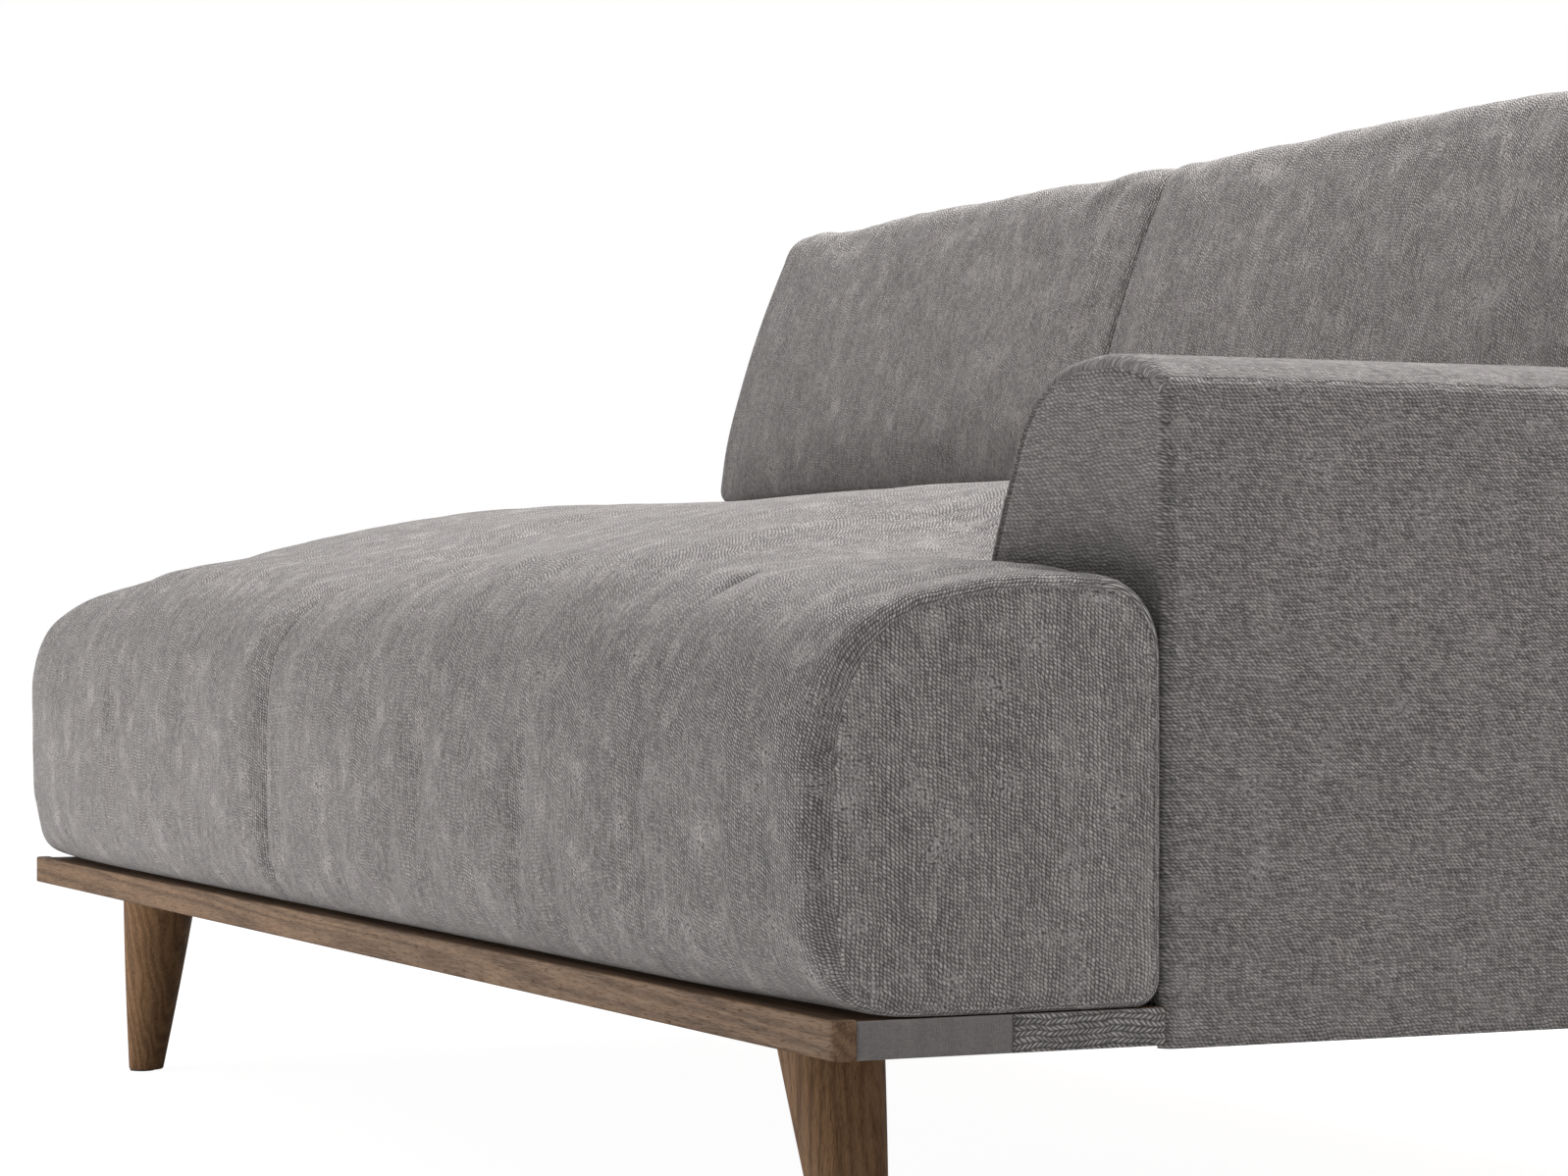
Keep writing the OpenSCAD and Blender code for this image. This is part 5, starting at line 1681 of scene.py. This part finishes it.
@dataclass
class Base:
    """Front rail and legs."""

    finishes: Finishes

    def make(self) -> None:
        """Builds the base's visible pieces."""
        f = self.finishes
        rail = self.rail(SIZE.rail_y, SIZE.rail_y + SIZE.rail_t, 0.007)
        dress(rail, f.walnut, "frame", ["front_rail"])
        leg_x, front_y, rear_y = SIZE.right - 0.159, SIZE.rail_y + 0.0735, SIZE.back_y - 0.075
        for name, side, y in (
            ("front_left_leg", -1, front_y), ("front_right_leg", 1, front_y),
            ("rear_left_leg", -1, rear_y), ("rear_right_leg", 1, rear_y),
        ):
            leg = turned_leg(name + "_turned", side * leg_x, y, side)
            dress(leg, f.walnut_leg, "frame", [name])

    def rail(self, y0: float, y1: float, r: float) -> bpy.types.Object:
        """Front rail: a rounded-rectangle section swept along X, its front edge drawn back at each end.

        Args:
            y0: Front face.
            y1: Rear face.
            r: Rounding of the two front corners in plan.

        Returns:
            The object.
        """
        z0, z1, e = SIZE.floor_z, SIZE.floor_z + SIZE.rail_h, 0.0016

        def section(front: float) -> Array:
            """The rail's rounded section, with its front face at a given y."""
            return chain(
                superellipse((front + e, z0 + e), (e, e), 2.0, 270, 180, 6),
                line((front, z0 + e), (front, z1 - e), 12),
                superellipse((front + e, z1 - e), (e, e), 2.0, 180, 90, 6),
                line((front + e, z1), (y1 - e, z1), 8),
                superellipse((y1 - e, z1 - e), (e, e), 2.0, 90, 0, 6),
                line((y1, z1 - e), (y1, z0 + e), 12),
                superellipse((y1 - e, z0 + e), (e, e), 2.0, 0, -90, 6),
                line((y1 - e, z0), (front + e, z0), 8),
            )[:-1]

        a = np.radians(np.linspace(0, 90, 10))
        run = r * (1 - np.cos(a))
        xs = np.r_[SIZE.left + run, np.linspace(SIZE.left + r, SIZE.right - r, 120)[1:-1], SIZE.right - run[::-1]]
        rings = []
        for x in xs:
            d = min(x - SIZE.left, SIZE.right - x)
            back = float(rounding(d, np.array([r]))[0])
            rings.append(at_x(x, section(y0 + back)))
        rings = np.array(rings)
        patches = [tube_patch(rings, lengths(section(y0), closed=True))]
        for ring in (rings[0], rings[-1]):
            grid = fill_ring(ring, 60)
            patches.append(Patch(grid, grid[..., 1:].copy()))
        return build("front_rail_moulding", patches)


# ---------------------------------------------------------------- stage
PHOTO_W, PHOTO_H, SENSOR = 1598, 1199, 36.0
FOCAL_PX, HORIZON_PX = 4176, 627


@dataclass(frozen=True)
class Stage:
    """Camera, lights, backdrop and floor."""

    camera: Vector = Vector((2.8976, -1.4574, 0.416))
    aim: Vector = Vector((-0.9056, 0.4242, 0.0))

    def make(self) -> None:
        """Builds everything that isn't the sofa."""
        data = bpy.data.cameras.new("camera")
        data.sensor_width = SENSOR
        data.lens = FOCAL_PX / PHOTO_W * SENSOR
        data.shift_y = (HORIZON_PX - PHOTO_H / 2) / PHOTO_W
        data.clip_start, data.clip_end = 0.05, 60.0
        camera = bpy.data.objects.new("camera", data)
        camera.location = self.camera
        camera.rotation_euler = self.aim.to_track_quat("-Z", "Y").to_euler()
        bpy.context.scene.collection.objects.link(camera)
        bpy.context.scene.camera = camera
        self.world()
        self.floor()
        self.lamp("top_light", (0.2, 1.05, 2.5), (0.2, 0.15, 0.4), (3.2, 2.0), 158.0)
        self.lamp("front_fill", (-0.5, -1.95, 0.30), (0.1, -0.3, 0.26), (2.2, 0.5), 24.0)
        self.lamp("side_fill", (3.4, -0.6, 1.6), (0.8, 0.1, 0.4), (1.8, 1.6), 1.2)
        bpy.context.scene.view_settings.view_transform = "Standard"

    def lamp(
        self, name: str, place: Sequence[float], target: Sequence[float], size: tuple[float, float], power: float
    ) -> None:
        """Adds a soft rectangular light.

        Args:
            name: Its name.
            place: Where it is.
            target: What it points at.
            size: Its width and height.
            power: Its power in watts.
        """
        data = bpy.data.lights.new(name, "AREA")
        data.shape, data.size, data.size_y, data.energy = "RECTANGLE", size[0], size[1], power
        lamp = bpy.data.objects.new(name, data)
        lamp.location = place
        lamp.rotation_euler = (Vector(target) - Vector(place)).to_track_quat("-Z", "Y").to_euler()
        bpy.context.scene.collection.objects.link(lamp)

    def nodes(self, owner: bpy.types.World | bpy.types.Material, *kinds: str) -> list[bpy.types.Node]:
        """Empties the owner's node tree and adds shader nodes of the given kinds."""
        owner.use_nodes = True
        owner.node_tree.nodes.clear()
        return [owner.node_tree.nodes.new("ShaderNode" + kind) for kind in kinds]

    def world(self) -> None:
        """Dim neutral surroundings that the camera, mirrors and glass see as white."""
        world = bpy.data.worlds.new("surroundings")
        bpy.context.scene.world = world
        out, mix, dim, white, path, first, second = self.nodes(
            world, "OutputWorld", "MixShader", "Background", "Background", "LightPath", "Math", "Math"
        )
        for shade, level in ((dim, 0.37), (white, 1.0)):
            shade.inputs[0].default_value, shade.inputs[1].default_value = (1, 1, 1, 1), level
        first.operation = second.operation = "MAXIMUM"
        for source, target in (
            (path.outputs["Is Camera Ray"], first.inputs[0]), (path.outputs["Is Glossy Ray"], first.inputs[1]),
            (first.outputs[0], second.inputs[0]), (path.outputs["Is Transmission Ray"], second.inputs[1]),
            (second.outputs[0], mix.inputs[0]), (dim.outputs[0], mix.inputs[1]), (white.outputs[0], mix.inputs[2]),
            (mix.outputs[0], out.inputs[0]),
        ):
            world.node_tree.links.new(source, target)

    def floor(self) -> None:
        """Pale floor that shows the sofa's shadow faintly."""
        half = 12.0
        mesh = bpy.data.meshes.new("floor")
        mesh.from_pydata([(-half, -half, 0), (half, -half, 0), (half, half, 0), (-half, half, 0)], [], [(0, 1, 2, 3)])
        floor = bpy.data.objects.new("floor", mesh)
        bpy.context.scene.collection.objects.link(floor)
        material = bpy.data.materials.new("floor")
        out, pale, faint, glow, add, mix, path = self.nodes(
            material, "OutputMaterial", "BsdfDiffuse", "BsdfDiffuse", "Emission", "AddShader", "MixShader", "LightPath"
        )
        pale.inputs[0].default_value = (0.72, 0.72, 0.72, 1)
        faint.inputs[0].default_value = (0.16, 0.16, 0.16, 1)
        glow.inputs[0].default_value, glow.inputs[1].default_value = (1, 1, 1, 1), 0.955
        for source, target in (
            (faint.outputs[0], add.inputs[0]), (glow.outputs[0], add.inputs[1]),
            (path.outputs["Is Camera Ray"], mix.inputs[0]), (pale.outputs[0], mix.inputs[1]),
            (add.outputs[0], mix.inputs[2]), (mix.outputs[0], out.inputs[0]),
        ):
            material.node_tree.links.new(source, target)
        mesh.materials.append(material)


# ---------------------------------------------------------------- the sofa
@dataclass
class Sofa:
    """The whole sofa section."""

    finishes: Finishes = field(default_factory=Finishes)

    def make(self) -> None:
        """Builds the new pieces and gives the carried-over CAD nodes their materials."""
        self.carry_over()
        outer, rim = (0.021, 0.008, 0.005, 0.004), (0.010, 0.009, 0.010, 0.005)
        valley, far = (0.034, 0.026, 0.010, 0.006), (0.050, 0.026, 0.010, 0.005)
        seats = [
            (SeatCushion("left_seat_cushion", -0.8544, -0.1063, LEFT_TOP, far, valley), "left_seat",
             ["left_seat_cover", "left_lip_cover", "left_seat_core"]),
            (SeatCushion("right_seat_cushion", -0.1057, 0.6325, RIGHT_TOP, rim, outer, ear_x=0.8544), "right_seat",
             ["right_seat_cover", "right_lip_cover", "right_ear_cover", "right_seat_core"]),
        ]
        for cushion, body, nodes in seats:
            piece = cushion.make()
            subdivide(piece)
            present = [n for n in nodes if n in frame["nodes"]]
            dress(piece, self.finishes.cushion, body, present)
        for name, x0, x1, body in (
            ("left_back", -0.8541, -0.1066, "left_back"), ("right_back", -0.1054, 0.6322, "right_back"),
        ):
            piece = BackCushion(name + "_cushion", x0, x1).make()
            subdivide(piece)
            dress(piece, self.finishes.cushion, body, [name + "_cover", name + "_core"])
        Arm(self.finishes).make()
        Base(self.finishes).make()
        Underlay(self.finishes).make()

    def carry_over(self) -> None:
        """Gives every CAD node its procedural material."""
        f = self.finishes
        by_slot = {
            "oiled_wood": f.walnut, "plywood": f.ply, "frame_timber": f.beech_x, "webbing": f.webbing,
            "lining_cloth": f.lining, "zinc_steel": f.steel, "black_plastic": f.plastic,
            "woven_fabric": f.cover, "coarse_fabric": f.coarse, "cushion_fabric": f.cushion, "foam": f.cover,
        }
        special = {
            "deck_left_beam": f.beech_y, "deck_centre_beam": f.beech_y, "deck_right_beam": f.beech_y,
            "arm_top_rail": f.beech_y, "arm_bottom_rail": f.beech_y, "arm_front_post": f.beech_z,
            "arm_rear_post": f.beech_z, "back_left_post": f.beech_z, "back_centre_post": f.beech_z,
            "back_right_post": f.beech_z,
        }
        slots = slot_of_node(frame["record"])
        for name, obj in frame["nodes"].items():
            slot = slots.get(name, "woven_fabric")
            obj.data.materials.clear()
            obj.data.materials.append(special.get(name, by_slot[slot]))
            box_uv(obj)


def slot_of_node(record: dict) -> dict[str, str]:
    """Material slot of each CAD node.

    Args:
        record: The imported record.

    Returns:
        Slot names by node name.
    """
    return {part["node"]: part["material_slot"] for part in record["subparts"]}


def box_uv(obj: bpy.types.Object) -> None:
    """Lays cloth coordinates over a CAD node by its faces' main directions.

    Args:
        obj: The node's object.
    """
    mesh = obj.data
    if UV_NAME in mesh.uv_layers:
        return
    layer = mesh.uv_layers.new(name=UV_NAME)
    co = np.zeros(len(mesh.vertices) * 3, np.float32)
    mesh.vertices.foreach_get("co", co)
    co = co.reshape(-1, 3)
    loops = np.zeros(len(mesh.loops), np.int32)
    mesh.loops.foreach_get("vertex_index", loops)
    starts = np.zeros(len(mesh.polygons), np.int32)
    totals = np.zeros(len(mesh.polygons), np.int32)
    normals = np.zeros(len(mesh.polygons) * 3, np.float32)
    mesh.polygons.foreach_get("loop_start", starts)
    mesh.polygons.foreach_get("loop_total", totals)
    mesh.polygons.foreach_get("normal", normals)
    axis = np.abs(normals.reshape(-1, 3)).argmax(1)
    axis = np.repeat(axis, totals)
    pick = np.array([[1, 2], [0, 2], [0, 1]])[axis]
    p = co[loops]
    uv = np.take_along_axis(p, pick, 1)
    layer.data.foreach_set("uv", uv.ravel().astype(np.float32))


def main() -> None:
    """Builds the scene."""
    logging.basicConfig(level=logging.INFO)
    bpy.context.view_layer.update()
    Stage().make()
    Sofa().make()


if __name__ == "__main__":
    main()
